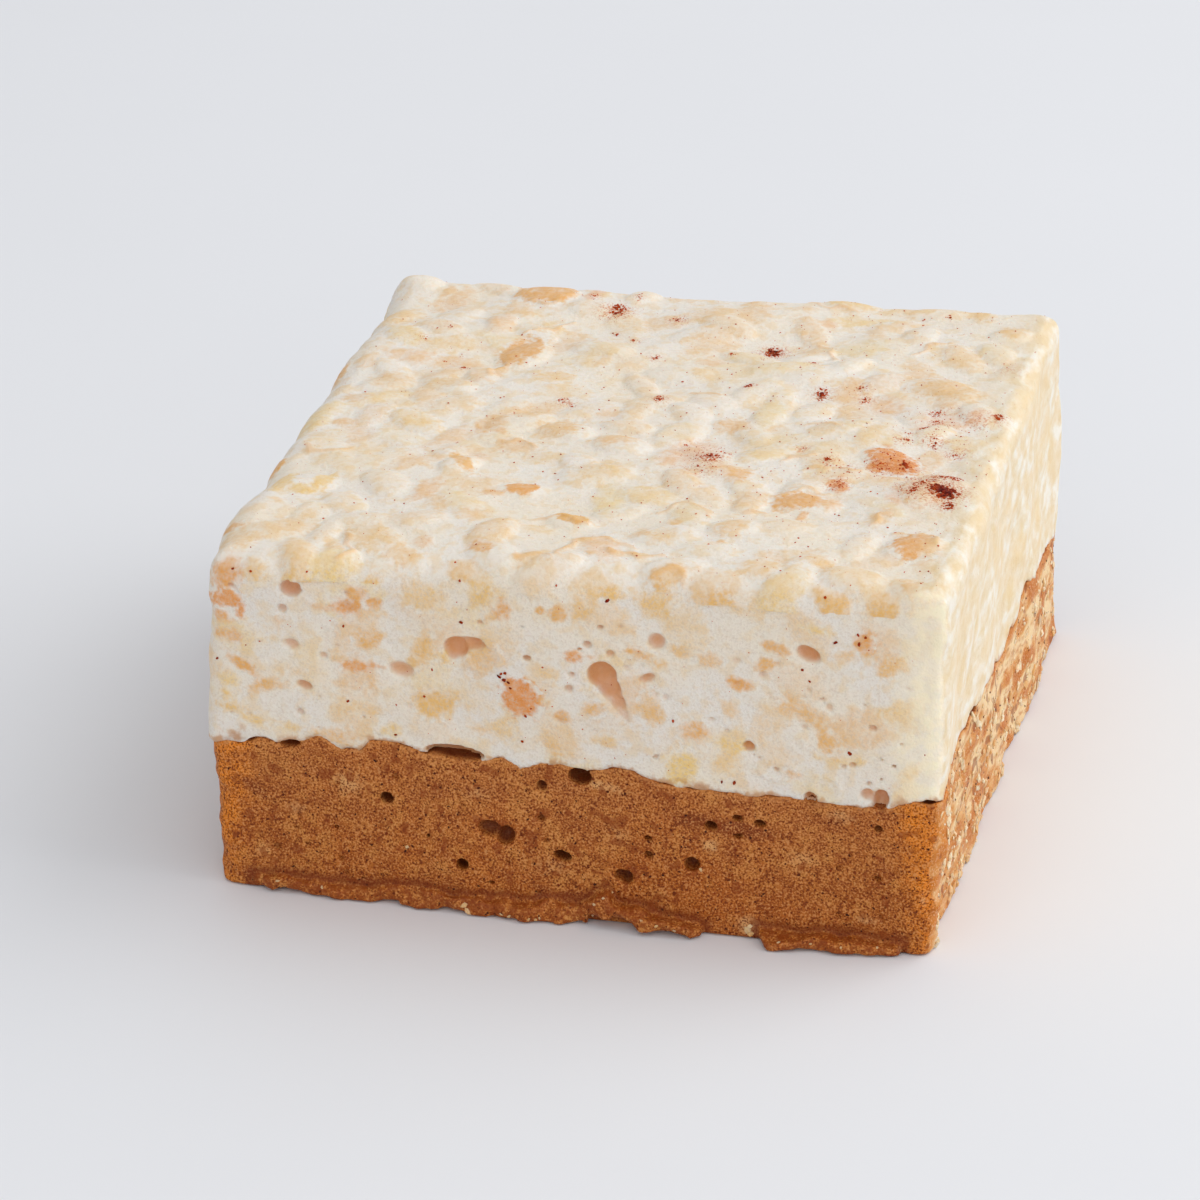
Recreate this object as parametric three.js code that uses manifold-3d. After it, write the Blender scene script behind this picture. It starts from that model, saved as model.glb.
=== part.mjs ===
// A square of two-layer puffed rice treat. The lower layer is puffed rice set in cinnamon-brown
// marshmallow, the upper one puffed rice set in white marshmallow, poured on top of it. Both run
// right through the square and show on all four sides. The right side is a knife cut, the other
// sides and the top are skins of marshmallow with the puffs swelling through.
// Units are millimetres, +Z is up, the front faces -Y, the origin is the middle of the underside.

import * as THREE from 'three';
import { mergeVertices } from 'three/addons/utils/BufferGeometryUtils.js';
import Module from 'manifold-3d';

const wasm = await Module();
wasm.setup();

// ---------------------------------------------------------------- driving dimensions

const SIDE = 72;                    // nominal width and depth of the square
const LAYER_GAP = 0.3;              // clear space kept between the two layers
const SKIN_STEPS = 40;              // lattice steps along a side, a multiple of LID_BLOCK
const LID_BLOCK = 4;                // lattice steps across one block of a hidden lid
const UPPER_ROWS = 11;              // lattice rows up the white wall
const LOWER_ROWS = 7;               // lattice rows up the brown wall
const HALF = SIDE / 2;

// Each corner: its plan place at the underside and at the crown, the height of the join between
// the layers and of the top there, and the radius of its upright edge low down and high up.
const CORNERS = {
  frontLeft: { foot: [-35.6, -37.5], crown: [-36.1, -36.5], join: 15.4, top: 35.2, edge: [4.5, 2] },
  frontRight: { foot: [35.2, -37.3], crown: [36.4, -35.5], join: 16.3, top: 37.6, edge: [1.2, 1] },
  backLeft: { foot: [-35.8, 35.8], crown: [-36.2, 35.4], join: 13.2, top: 35.5, edge: [2.5, 1.6] },
  backRight: { foot: [36.4, 36], crown: [35.8, 35.8], join: 12.4, top: 37, edge: [1, 0.8] },
};

// Radius of the soft upper rim, and of the crisp one that the knife left on the right.
const SOFT_RIM = 3.3;
const BACK_RIM = 2;
const CUT_RIM = 0.9;
const RIM_BLEND = 6;                // stretch of rim over which one radius turns into the next

// Height of the join along the two sides where its line is plainest: [place along side, height].
const FRONT_JOIN = [
  [-36, 15.4], [-33, 15.4], [-31, 15.9], [-27.5, 15.9], [-24.6, 16.8], [-22.5, 15.9], [-20.5, 16],
  [-19, 17.7], [-16.5, 16.7], [-14.4, 16.3], [-8.5, 15.8], [-6.6, 16.4], [-5, 15.5], [-1.8, 16.3],
  [1, 15.8], [4.5, 16.5], [6.5, 16.4], [9, 15.4], [21.5, 15.1], [28.5, 14.8], [31.3, 15.2],
  [33.5, 16.2], [36, 16.3],
];
const RIGHT_JOIN = [
  [-36, 16.3], [-13, 16.3], [-8, 15.8], [1, 13.4], [5, 15], [14, 15.2], [22, 13.6], [36, 12.4],
];

// Puffs of rice: sizes of a puff, spacing of the puffs under a skin, and how proud they stand.
const PUFF_LENGTH = [4.8, 6.8];
const PUFF_WIDTH = [2.8, 3.6];
const PUFF_PITCH = [5.4, 4];
const PUFF_PROUD = { top: 0.85, front: 0.3, right: 0.2, back: 0.45, left: 0.45 };
const SWELL = { top: 0.3, wall: 0.28 };   // slow unevenness of the marshmallow skin

// Largest flecks of red-brown powder caked on the top: [x, y, length, width, heading in degrees].
const TOP_FLECKS = [
  [31.9, -13.9, 3.4, 2.2, 10], [8, 21.4, 2.2, 1.6, 0], [-10.5, 28.8, 2.6, 1.5, 15],
  [-5.8, 34.2, 1.7, 1.2, 30], [15.3, 10, 1.6, 1.4, 0], [7.9, -8.5, 1.7, 1.4, -20],
  [-0.5, 5.2, 1.5, 1.3, 0], [7.6, 10.2, 1.1, 0.8, 0],
];
const FLECK_THICKNESS = 0.5;

// Largest open bubbles and clefts of the front: [x, z, width, height, depth, tilt in degrees].
const FRONT_HOLLOWS = [
  [-27.1, 32.3, 2.1, 1.8, 1, 0], [-27.3, 26.4, 1.7, 1.1, 0.8, -10], [-26.1, 22.2, 1.7, 0.9, 0.8, -15],
  [-16.5, 24.7, 2.8, 1.7, 1, -8], [-10.4, 27.6, 3.4, 2.4, 1.4, 8], [3.7, 25.2, 2.9, 6.2, 1.7, 16],
  [8.4, 30, 1.9, 1.8, 1, -20], [22.9, 30.1, 2.6, 1.6, 1.2, -24], [7.6, 26.2, 1.8, 0.9, 0.8, 22],
  [-18.1, 11.1, 1.5, 1.3, 1.6, -20], [-2.7, 13.8, 1.2, 1.2, 1.4, 0], [-10.5, 4.9, 1.4, 1.3, 1.6, -35],
  [-7.2, 8.6, 3.6, 2.4, 1.4, -20], [-0.5, 6.7, 2, 1.2, 1.8, -12], [5.6, 5.1, 1.9, 1.6, 1.6, 0],
  [12.4, 7.3, 1.5, 1.5, 1.5, 0], [15.4, 12.1, 4.4, 1.1, 1.3, -5], [18.9, 12.2, 1.3, 1, 1.4, -10],
];
// Clefts left under the white layer's lobes where it does not touch the brown: same order.
const JOIN_CLEFTS = [
  [-11.2, 16.5, 5.8, 1.5, 2.6, -5], [1.1, 15.2, 2.4, 1.8, 2.4, -6], [30.4, 16.2, 1.9, 3.2, 2, -12],
  [-27.8, 15.8, 2.2, 0.8, 1.6, 8], [23.7, 15.6, 1.7, 1.9, 1.6, 0],
];

// Thin crust squeezed out under the brown layer. Each is a strip along one side of the foot, and
// each of its stations is [place along the side, reach from the wall, underside, upper side].
const CRUSTS = [
  { side: 'front', stations: [[-31.5, 0.3, 0.5, 1.2], [-29, 0.9, 0.2, 1.7], [-26, 0.6, 0.2, 1.5],
    [-22, 0.7, 0.1, 1.3], [-17, 0.9, 0.1, 1.8], [-13, 1.3, 0.1, 1.6], [-8, 1.1, 0.1, 1.5],
    [-4, 1.3, 0.1, 1.9], [-0.5, 1.1, 0.1, 1.7], [2, 0.7, 0.1, 1.6]] },
  { side: 'front', stations: [[1.2, 0.7, 0.9, 2], [2.8, 1, 1.2, 3.2], [4, 1.2, 1.3, 3.7], [4.7, 1.1, 1, 2.5],
    [6.5, 1.3, 0.8, 2.1], [8.5, 1.6, 0.5, 1.7], [10.5, 1.9, 0.3, 1.4], [12.3, 2, 0.1, 1.1],
    [13.2, 1, 0.2, 0.9]] },
  { side: 'front', stations: [[18.8, 0.9, 0.3, 1.1], [19.8, 1.8, 0.2, 1.1], [22, 2, 0.2, 1.2],
    [25, 1.4, 0.2, 1.3], [28.4, 1.7, 0.1, 1.3], [30.6, 0.8, 0.2, 1.2], [32.5, 0.3, 0.2, 1]] },
  { side: 'left', stations: [[-28, 0.3, 0.3, 1.1], [-22, 0.8, 0.2, 1.4], [-14, 0.4, 0.1, 1.3],
    [-6, 0.9, 0.1, 1.6], [2, 0.5, 0.1, 1.2], [9, 1, 0.1, 1.5], [16, 0.3, 0.2, 1]] },
  { side: 'back', stations: [[-26, 0.3, 0.3, 1.1], [-18, 0.9, 0.2, 1.5], [-9, 0.5, 0.1, 1.2],
    [-1, 1.1, 0.2, 1.7], [6, 0.7, 0.1, 1.3], [14, 0.9, 0.1, 1.4], [22, 0.3, 0.2, 1]] },
];
const CRUST_ROOT = 1.2;             // how far a crust strip is bedded in the wall
const CRUST_FLARE = 0.25;           // it is this much thicker there than at its free edge
const CRUST_NOSE = 0.2;             // and its free edge is rounded by this much

const COLOURS = { white: 0xe9e0d2, brown: 0xb27a4b };

// ---------------------------------------------------------------- seeded draws and small sums

function seededDraw(seed) {
  let state = seed >>> 0;
  return (low, high) => {
    state = (Math.imul(state, 1664525) + 1013904223) >>> 0;
    return low + (high - low) * (state / 4294967296);
  };
}

const mix = (a, b, t) => a + (b - a) * t;

function ease(from, to, value) {
  const t = Math.min(1, Math.max(0, (value - from) / (to - from)));
  return t * t * (3 - 2 * t);
}

// Straight-line reading of a list of [place, value] rows.
function readCurve(rows, place) {
  const last = rows.length - 1;
  let k = 0;
  while (k < last - 1 && place > rows[k + 1][0]) k += 1;
  const [[x0, y0], [x1, y1]] = [rows[k], rows[k + 1]];
  return mix(y0, y1, Math.min(1, Math.max(0, (place - x0) / (x1 - x0))));
}

// Slow, smooth unevenness: a few plane waves with seeded directions and phases, about -1 to 1.
const WAVE_COUNT = 7;
const WAVE_LENGTH = [9, 21];
const waves = [];
const drawWave = seededDraw(11);
for (let k = 0; k < WAVE_COUNT; k += 1) {
  const heading = drawWave(0, 2 * Math.PI);
  const climb = drawWave(-0.8, 0.8);
  const number = 2 * Math.PI / drawWave(...WAVE_LENGTH);
  const level = Math.cos(climb) * number;
  waves.push({
    x: Math.cos(heading) * level,
    y: Math.sin(heading) * level,
    z: Math.sin(climb) * number,
    phase: drawWave(0, 2 * Math.PI),
  });
}
function swell(x, y, z) {
  let sum = 0;
  for (const w of waves) sum += Math.sin(w.x * x + w.y * y + w.z * z + w.phase);
  return sum / Math.sqrt(WAVE_COUNT);
}

// ---------------------------------------------------------------- form of the whole square

// Bilinear reading of the four corners at plan place x, y.
function overCorners(x, y, pick) {
  const s = x / SIDE + 0.5;
  const t = y / SIDE + 0.5;
  const front = mix(pick(CORNERS.frontLeft), pick(CORNERS.frontRight), s);
  const back = mix(pick(CORNERS.backLeft), pick(CORNERS.backRight), s);
  return mix(front, back, t);
}

const topHeight = (x, y) => overCorners(x, y, (corner) => corner.top);

// The join is level ground inside, and follows its own wavy line within EDGE_BAND of each side.
const EDGE_BAND = 5;
const JOIN_WAVE = 0.45;
function joinHeight(x, y) {
  const inside = overCorners(x, y, (corner) => corner.join);
  const wavy = inside + JOIN_WAVE * swell(2 * x, 2 * y, 0);
  const edges = [
    [HALF + y, readCurve(FRONT_JOIN, x)],
    [HALF - x, readCurve(RIGHT_JOIN, y)],
    [HALF - y, wavy],
    [HALF + x, wavy],
  ];
  let total = 0;
  let height = 0;
  for (const [distance, value] of edges) {
    const weight = (1 - ease(0, EDGE_BAND, distance)) ** 2;
    total += weight;
    height += weight * value;
  }
  const share = Math.min(1, total);
  return total > 0 ? mix(inside, height / total, share) : inside;
}

// Plan place and outward direction of the wall, for a place a, b on the unit square's border and
// a height share t: the upright edges are rounded, then each corner is moved to where it stands.
function wallPlan(a, b, t) {
  const left = a < 0;
  const corner = b < 0 ? (left ? CORNERS.frontLeft : CORNERS.frontRight)
    : (left ? CORNERS.backLeft : CORNERS.backRight);
  const radius = mix(corner.edge[0], corner.edge[1], Math.min(1, 2 * t));
  const core = HALF - radius;
  const cx = Math.min(core, Math.max(-core, a * HALF));
  const cy = Math.min(core, Math.max(-core, b * HALF));
  const dx = a * HALF - cx;
  const dy = b * HALF - cy;
  const length = Math.hypot(dx, dy);
  const out = [dx / length, dy / length];
  const x = cx + radius * out[0];
  const y = cy + radius * out[1];
  const place = [0, 1].map((axis) => {
    const nominal = (c) => (axis === 0 ? Math.sign(c.foot[0]) : Math.sign(c.foot[1])) * HALF;
    const stray = overCorners(x, y, (c) => mix(c.foot[axis], c.crown[axis], t) - nominal(c));
    return (axis === 0 ? x : y) + stray;
  });
  return { place, out };
}

function rimRadius(x, y) {
  const blendFrom = HALF - 1 - RIM_BLEND;
  const ofDepth = mix(SOFT_RIM, BACK_RIM, ease(blendFrom, HALF - 1, y));
  return mix(ofDepth, CUT_RIM, ease(blendFrom, HALF - 1, x));
}

// ---------------------------------------------------------------- puffs of rice under the skin

const FACES = {
  top: { out: [0, 0, 1], along: [1, 0, 0], up: [0, 1, 0], seed: 101 },
  front: { out: [0, -1, 0], along: [1, 0, 0], up: [0, 0, 1], seed: 202 },
  right: { out: [1, 0, 0], along: [0, 1, 0], up: [0, 0, 1], seed: 303 },
  back: { out: [0, 1, 0], along: [-1, 0, 0], up: [0, 0, 1], seed: 404 },
  left: { out: [-1, 0, 0], along: [0, -1, 0], up: [0, 0, 1], seed: 505 },
};

// Puffs that stand out on the top: [x, y, length, width, heading in degrees, how proud].
const TOP_PUFFS = [
  [-33.4, 24, 5.8, 3.6, 20, 0.8], [-33.2, 33.6, 4.6, 3.2, 0, 0.9], [-29.3, 6.3, 5, 3.4, 30, 0.7],
  [-22.7, 6.2, 5.4, 3.6, -20, 0.8], [-30.9, -19.2, 5.6, 3.8, 10, 1], [-16.4, -13, 4.8, 3.4, 60, 0.9],
  [-8.9, -17.8, 4.4, 2.8, 0, 0.6], [-2.3, -24.1, 4.6, 3, -15, 0.8], [-13.2, -1.5, 6.6, 3.8, 35, 1],
  [-8.2, -3.4, 5.6, 3.4, -10, 0.9], [-16.8, 15.7, 6.4, 3.8, 75, 1], [-18.7, 31.8, 6.4, 3.6, 5, 1],
  [-2.6, -13.7, 6.6, 3.8, 20, 0.9], [-1.7, -6.3, 5.4, 3.6, -25, 0.9], [-9.1, -28.4, 6, 3.4, 80, 0.9],
  [0.2, 23.6, 6.4, 4, 15, 0.8], [13.5, 35, 5.4, 3.4, 0, 0.7], [31.6, 28.5, 4, 3, 20, 0.8],
  [26.2, 13.5, 6.8, 4, -10, 0.9], [12, 20.1, 5, 3.6, 40, 0.7], [-0.1, 13, 6.2, 3.8, 0, 0.8],
  [18.8, -16.8, 6.4, 4, -15, 1], [31.2, -25.7, 5.6, 4, 35, 1], [25.1, -5.7, 5.8, 3.8, -35, 0.9],
  [13.8, -24.4, 5, 3.4, 10, 0.7], [7.3, -27, 5.6, 3.8, -5, 0.7], [9.6, -33.2, 5.4, 3.6, 15, 0.9],
  [-7.9, -33, 4.8, 3.4, -30, 0.8],
];
const PUFF_ROOM = 3.2;              // other puffs keep this far from the ones above
const CORNER_ROOM = 1;              // and this far from the corners of a face

function facePoint(name, s, v) {
  if (name === 'top') return [s, v, topHeight(s, v)];
  const { out, along } = FACES[name];
  const a = out[0] + along[0] * s / HALF;
  const b = out[1] + along[1] * s / HALF;
  const { place } = wallPlan(a, b, v / topHeight(a * HALF, b * HALF));
  return [place[0], place[1], v];
}

function makePuff(name, s, v, length, width, heading, proud) {
  const { out, along, up } = FACES[name];
  const c = Math.cos(heading);
  const d = Math.sin(heading);
  const lengthwise = along.map((value, axis) => value * c + up[axis] * d);
  const crosswise = along.map((value, axis) => up[axis] * c - value * d);
  return { centre: facePoint(name, s, v), out, lengthwise, crosswise, length, width, proud };
}

// A staggered lattice of puffs on one face, shaken and turned by the face's own seeded draw.
function scatterPuffs(name, from, to) {
  const draw = seededDraw(FACES[name].seed);
  const found = [];
  const rows = Math.round((to - from) / PUFF_PITCH[1]);
  const columns = Math.round(SIDE / PUFF_PITCH[0]);
  for (let row = 0; row < rows; row += 1) {
    for (let column = 0; column < columns; column += 1) {
      const s = -HALF + PUFF_PITCH[0] * (column + 0.5 * (row % 2) + draw(0.2, 0.8));
      const v = from + PUFF_PITCH[1] * (row + draw(0.2, 0.8));
      const length = draw(...PUFF_LENGTH);
      const width = draw(...PUFF_WIDTH);
      const heading = draw(0, Math.PI);
      const proud = PUFF_PROUD[name] * draw(-0.2, 1);
      const crowded = name === 'top' && TOP_PUFFS.some(([x, y]) => Math.hypot(s - x, v - y) < PUFF_ROOM);
      if (proud > 0 && !crowded && Math.abs(s) < HALF - CORNER_ROOM) {
        found.push(makePuff(name, s, v, length, width, heading, proud));
      }
    }
  }
  return found;
}

const WALL_FOOT = 1.5;
const WALL_CROWN = 34;
const puffs = [
  ...TOP_PUFFS.map(([x, y, length, width, degrees, proud]) => (
    makePuff('top', x, y, length, width, THREE.MathUtils.degToRad(degrees), proud))),
  ...scatterPuffs('top', -HALF, HALF),
  ...['front', 'right', 'back', 'left'].flatMap((name) => scatterPuffs(name, WALL_FOOT, WALL_CROWN)),
];

// How far the puffs push the skin out at a point: the tallest one there counts.
const SKIN_OVERLAP = 1.25;          // the skin bulges a little wider than the puff under it
const PUFF_DEPTH = 2.6;             // puffs of a face leave the faces round the corner alone
function puffRise(point) {
  let rise = 0;
  for (const puff of puffs) {
    const d = point.map((value, axis) => value - puff.centre[axis]);
    const dot = (axis) => d[0] * axis[0] + d[1] * axis[1] + d[2] * axis[2];
    const l = dot(puff.lengthwise) / (puff.length / 2 * SKIN_OVERLAP);
    const w = dot(puff.crosswise) / (puff.width / 2 * SKIN_OVERLAP);
    const near = 1 - l * l - w * w;
    if (near > 0 && Math.abs(dot(puff.out)) < PUFF_DEPTH) {
      rise = Math.max(rise, puff.proud * near ** 0.8);
    }
  }
  return rise;
}

// ---------------------------------------------------------------- one layer as a lattice solid

// Border place number q of a square lattice, walked anticlockwise from the front left corner.
function borderCell(q) {
  const n = SKIN_STEPS;
  const side = Math.floor(q / n) % 4;
  const step = q % n;
  return [[step, 0], [n, step], [n - step, n], [0, n - step]][side];
}

// A closed body: a wall of rows round the lattice's border, and two lids. A fine lid has every
// lattice cell; a hidden lid has blocks that fan out from their middles to the wall's own points.
function latticeSolid(rows, place, fineTop) {
  const n = SKIN_STEPS;
  const positions = [];
  const numbers = new Map();
  const triangles = [];
  const point = (i, j, k) => {
    const key = (k * (n + 1) + j) * (n + 1) + i;
    if (!numbers.has(key)) {
      numbers.set(key, positions.length / 3);
      positions.push(...place(i, j, k));
    }
    return numbers.get(key);
  };
  for (let k = 0; k < rows; k += 1) {
    for (let q = 0; q < 4 * n; q += 1) {
      const here = borderCell(q);
      const next = borderCell(q + 1);
      const [a, b] = [point(...here, k), point(...next, k)];
      const [d, c] = [point(...here, k + 1), point(...next, k + 1)];
      if ((q + k) % 2) triangles.push(a, b, c, a, c, d);
      else triangles.push(a, b, d, b, c, d);
    }
  }
  if (fineTop) {
    for (let j = 0; j < n; j += 1) {
      for (let i = 0; i < n; i += 1) {
        const [a, b] = [point(i, j, rows), point(i + 1, j, rows)];
        const [d, c] = [point(i, j + 1, rows), point(i + 1, j + 1, rows)];
        if ((i + j) % 2) triangles.push(a, b, c, a, c, d);
        else triangles.push(a, b, d, b, c, d);
      }
    }
  }
  for (const k of fineTop ? [0] : [0, rows]) {
    for (let j = 0; j < n; j += LID_BLOCK) {
      for (let i = 0; i < n; i += LID_BLOCK) {
        const outline = blockOutline(i, j).map((cell) => point(...cell, k));
        const middle = point(i + LID_BLOCK / 2, j + LID_BLOCK / 2, k);
        outline.forEach((here, m) => {
          const next = outline[(m + 1) % outline.length];
          if (k === 0) triangles.push(middle, next, here);
          else triangles.push(middle, here, next);
        });
      }
    }
  }
  return toManifold(positions, triangles);
}

// Points round one lid block, anticlockwise; where a side lies on the border it has every step.
function blockOutline(i, j) {
  const n = SKIN_STEPS;
  const m = LID_BLOCK;
  const sides = [
    { from: [i, j], go: [1, 0], onBorder: j === 0 },
    { from: [i + m, j], go: [0, 1], onBorder: i + m === n },
    { from: [i + m, j + m], go: [-1, 0], onBorder: j + m === n },
    { from: [i, j + m], go: [0, -1], onBorder: i === 0 },
  ];
  return sides.flatMap(({ from, go, onBorder }) => {
    const steps = onBorder ? m : 1;
    return Array.from({ length: steps }, (_, s) => [from[0] + go[0] * s, from[1] + go[1] * s]);
  });
}

function toManifold(positions, triangles) {
  return new wasm.Manifold(new wasm.Mesh({
    numProp: 3,
    vertProperties: new Float32Array(positions),
    triVerts: new Uint32Array(triangles),
  }));
}

// A solid from a three.js geometry, its seams closed.
function solidOf(geometry) {
  const bare = geometry.clone();
  bare.deleteAttribute('normal');
  bare.deleteAttribute('uv');
  const merged = mergeVertices(bare);
  return toManifold(merged.attributes.position.array, merged.index.array);
}

// Splits a lattice place into its direction from the middle and its share of the way out.
function fromMiddle(i, j) {
  const a = 2 * i / SKIN_STEPS - 1;
  const b = 2 * j / SKIN_STEPS - 1;
  const share = Math.max(Math.abs(a), Math.abs(b));
  return share > 0 ? { a: a / share, b: b / share, share } : { a: 1, b: 0, share: 0 };
}

// ---------------------------------------------------------------- upper layer

const LOBE_TUCK = 0.35;             // the white lobes round in under their foot by this much
const LEFT_OVERHANG = 0.4;          // and on the left they stand proud of the brown,
const OVERHANG_HEIGHT = 8;          // fading out this far above the join

function upperPlace(i, j, k) {
  const { a, b, share } = fromMiddle(i, j);
  const edge = wallPlan(a, b, 1);
  const top = topHeight(edge.place[0] * share, edge.place[1] * share);
  const join = joinHeight(a * share * HALF, b * share * HALF) + LAYER_GAP / 2;
  const flatHeight = mix(join, top, k / UPPER_ROWS);
  const radius = rimRadius(edge.place[0] * share, edge.place[1] * share);
  const outward = Math.max(0, 1 - (1 - share) * HALF / radius);
  const upward = Math.max(0, 1 - (top - flatHeight) / radius);
  if (k === 0 && share < 1) {
    return [edge.place[0] * share, edge.place[1] * share, join];
  }
  const length = Math.hypot(outward, upward);
  const facing = [outward / length, upward / length];
  const onRim = outward > 0 && upward > 0;
  const inset = onRim ? radius * (1 - facing[0]) : (1 - share) * HALF;
  const height = onRim ? top - radius * (1 - facing[1]) : flatHeight;
  const wall = wallPlan(a, b, height / top);
  const scale = 1 - inset / HALF;
  const base = [wall.place[0] * scale, wall.place[1] * scale, height];
  const skin = mix(SWELL.wall, SWELL.top, facing[1]) * swell(...base);
  const tuck = k === 0 ? LOBE_TUCK : 0;
  const leftness = Math.max(0, -wall.out[0]);
  const overhang = LEFT_OVERHANG * leftness * (1 - ease(join, join + OVERHANG_HEIGHT, height));
  const rise = skin + puffRise(base) - (facing[0] * tuck) + facing[0] * overhang;
  return [
    base[0] + rise * facing[0] * wall.out[0],
    base[1] + rise * facing[0] * wall.out[1],
    base[2] + rise * facing[1],
  ];
}

// ---------------------------------------------------------------- lower layer

const BROWN_RELIEF = 0.6;           // its dense skin shows this share of the puffs' rise
const SHOULDER_TUCK = 0.25;         // and rounds in a little under the white

function lowerPlace(i, j, k) {
  const { a, b, share } = fromMiddle(i, j);
  const join = joinHeight(a * share * HALF, b * share * HALF) - LAYER_GAP / 2;
  const height = join * k / LOWER_ROWS;
  const wall = wallPlan(a, b, height / topHeight(a * HALF, b * HALF));
  if (share < 1) return [wall.place[0] * share, wall.place[1] * share, height];
  const base = [wall.place[0], wall.place[1], height];
  const tuck = k === LOWER_ROWS ? SHOULDER_TUCK : 0;
  const rise = SWELL.wall * swell(...base) + BROWN_RELIEF * puffRise(base) - tuck;
  return [base[0] + rise * wall.out[0], base[1] + rise * wall.out[1], height];
}

// One crust strip: a five-cornered section swept along its stations and capped at both ends.
function crustStrip({ side, stations }) {
  const { out } = FACES[side];
  const sections = stations.map(([s, reach, underside, upperSide]) => {
    const middle = (underside + upperSide) / 2;
    const profile = [
      [-CRUST_ROOT, underside], [reach, underside], [reach + CRUST_NOSE, middle],
      [reach - CRUST_NOSE, upperSide], [-CRUST_ROOT, upperSide + CRUST_FLARE],
    ];
    const [x, y] = facePoint(side, s, middle);
    return profile.map(([away, z]) => [x + out[0] * away, y + out[1] * away, z]);
  });
  const size = sections[0].length;
  const triangles = [];
  for (let k = 0; k + 1 < sections.length; k += 1) {
    for (let m = 0; m < size; m += 1) {
      const next = (m + 1) % size;
      const [a, b, c, d] = [k * size + m, k * size + next, (k + 1) * size + next, (k + 1) * size + m];
      triangles.push(a, c, b, a, d, c);
    }
  }
  const end = (sections.length - 1) * size;
  for (let m = 1; m + 1 < size; m += 1) {
    triangles.push(0, m, m + 1);
    triangles.push(end, end + m + 1, end + m);
  }
  return toManifold(sections.flat(2), triangles);
}

// ---------------------------------------------------------------- hollows and the finished nodes

const EGG_SIDES = [8, 5];           // flats round an egg-shaped hollow or fleck, and from end to end

// A fleck of powder, half sunk in the skin of the top.
function topFleck([x, y, length, width, heading]) {
  const egg = new THREE.SphereGeometry(1, ...EGG_SIDES);
  egg.rotateX(Math.PI / 2);
  egg.scale(length / 2, width / 2, FLECK_THICKNESS / 2);
  egg.rotateZ(THREE.MathUtils.degToRad(heading));
  const level = topHeight(x, y);
  egg.translate(x, y, level + SWELL.top * swell(x, y, level) + puffRise([x, y, level]));
  return solidOf(egg);
}

// An egg-shaped hollow let into the front wall.
function frontHollow([x, z, width, height, depth, tilt]) {
  const egg = new THREE.SphereGeometry(1, ...EGG_SIDES);
  egg.scale(width / 2, depth, height / 2);
  egg.rotateY(THREE.MathUtils.degToRad(-tilt));
  const [, y] = facePoint('front', x, z);
  egg.translate(x, y, z);
  return solidOf(egg);
}

function meshOf(name, solid, colour, roughness) {
  const { vertProperties, triVerts } = solid.getMesh();
  const geometry = new THREE.BufferGeometry();
  geometry.setAttribute('position', new THREE.BufferAttribute(vertProperties, 3));
  geometry.setIndex(new THREE.BufferAttribute(triVerts, 1));
  geometry.computeVertexNormals();
  const material = new THREE.MeshStandardMaterial({ color: colour, roughness, metalness: 0 });
  const mesh = new THREE.Mesh(geometry, material);
  mesh.name = name;
  return mesh;
}

const hollows = [...FRONT_HOLLOWS, ...JOIN_CLEFTS].map(frontHollow);

let upper = latticeSolid(UPPER_ROWS, upperPlace, true);
let lower = latticeSolid(LOWER_ROWS, lowerPlace, false);
for (const strip of CRUSTS.map(crustStrip)) lower = lower.add(strip);
for (const fleck of TOP_FLECKS.map(topFleck)) upper = upper.add(fleck);
for (const hollow of hollows) {
  upper = upper.subtract(hollow);
  lower = lower.subtract(hollow);
}

const treat = new THREE.Group();
treat.add(meshOf('white_marshmallow_layer', upper, COLOURS.white, 0.55));
treat.add(meshOf('brown_marshmallow_layer', lower, COLOURS.brown, 0.65));

export default treat;
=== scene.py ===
import itertools
import math

import bpy
import numpy as np
from mathutils import Matrix, Vector
from mathutils.bvhtree import BVHTree


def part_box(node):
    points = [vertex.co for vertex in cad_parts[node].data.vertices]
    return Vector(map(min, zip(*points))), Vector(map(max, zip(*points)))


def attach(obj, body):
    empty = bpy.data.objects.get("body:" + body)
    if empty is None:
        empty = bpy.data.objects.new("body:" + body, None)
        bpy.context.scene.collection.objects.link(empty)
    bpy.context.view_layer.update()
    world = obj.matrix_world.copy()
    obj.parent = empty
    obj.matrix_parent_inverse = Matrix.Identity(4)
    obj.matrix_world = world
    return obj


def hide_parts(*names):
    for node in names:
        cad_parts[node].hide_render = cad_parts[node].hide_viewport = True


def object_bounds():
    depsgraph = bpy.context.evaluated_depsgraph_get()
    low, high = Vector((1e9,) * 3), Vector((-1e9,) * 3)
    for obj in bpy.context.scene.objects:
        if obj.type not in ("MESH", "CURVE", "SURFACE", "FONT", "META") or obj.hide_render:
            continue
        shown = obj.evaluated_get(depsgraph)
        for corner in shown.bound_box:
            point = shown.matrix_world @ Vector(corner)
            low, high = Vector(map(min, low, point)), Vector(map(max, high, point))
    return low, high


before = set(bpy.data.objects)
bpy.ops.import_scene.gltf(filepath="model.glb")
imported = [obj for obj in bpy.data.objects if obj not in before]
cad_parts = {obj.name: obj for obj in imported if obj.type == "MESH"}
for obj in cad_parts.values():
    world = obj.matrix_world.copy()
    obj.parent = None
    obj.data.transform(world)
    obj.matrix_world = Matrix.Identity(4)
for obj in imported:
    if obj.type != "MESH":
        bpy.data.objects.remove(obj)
cad_box = [[float(value) for value in corner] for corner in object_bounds()]

# ------------------------------------------------------------------ camera
# A long lens a little to the right of the square, looking down on it, as the photograph was taken.
# Lengths in this section are metres.

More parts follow.
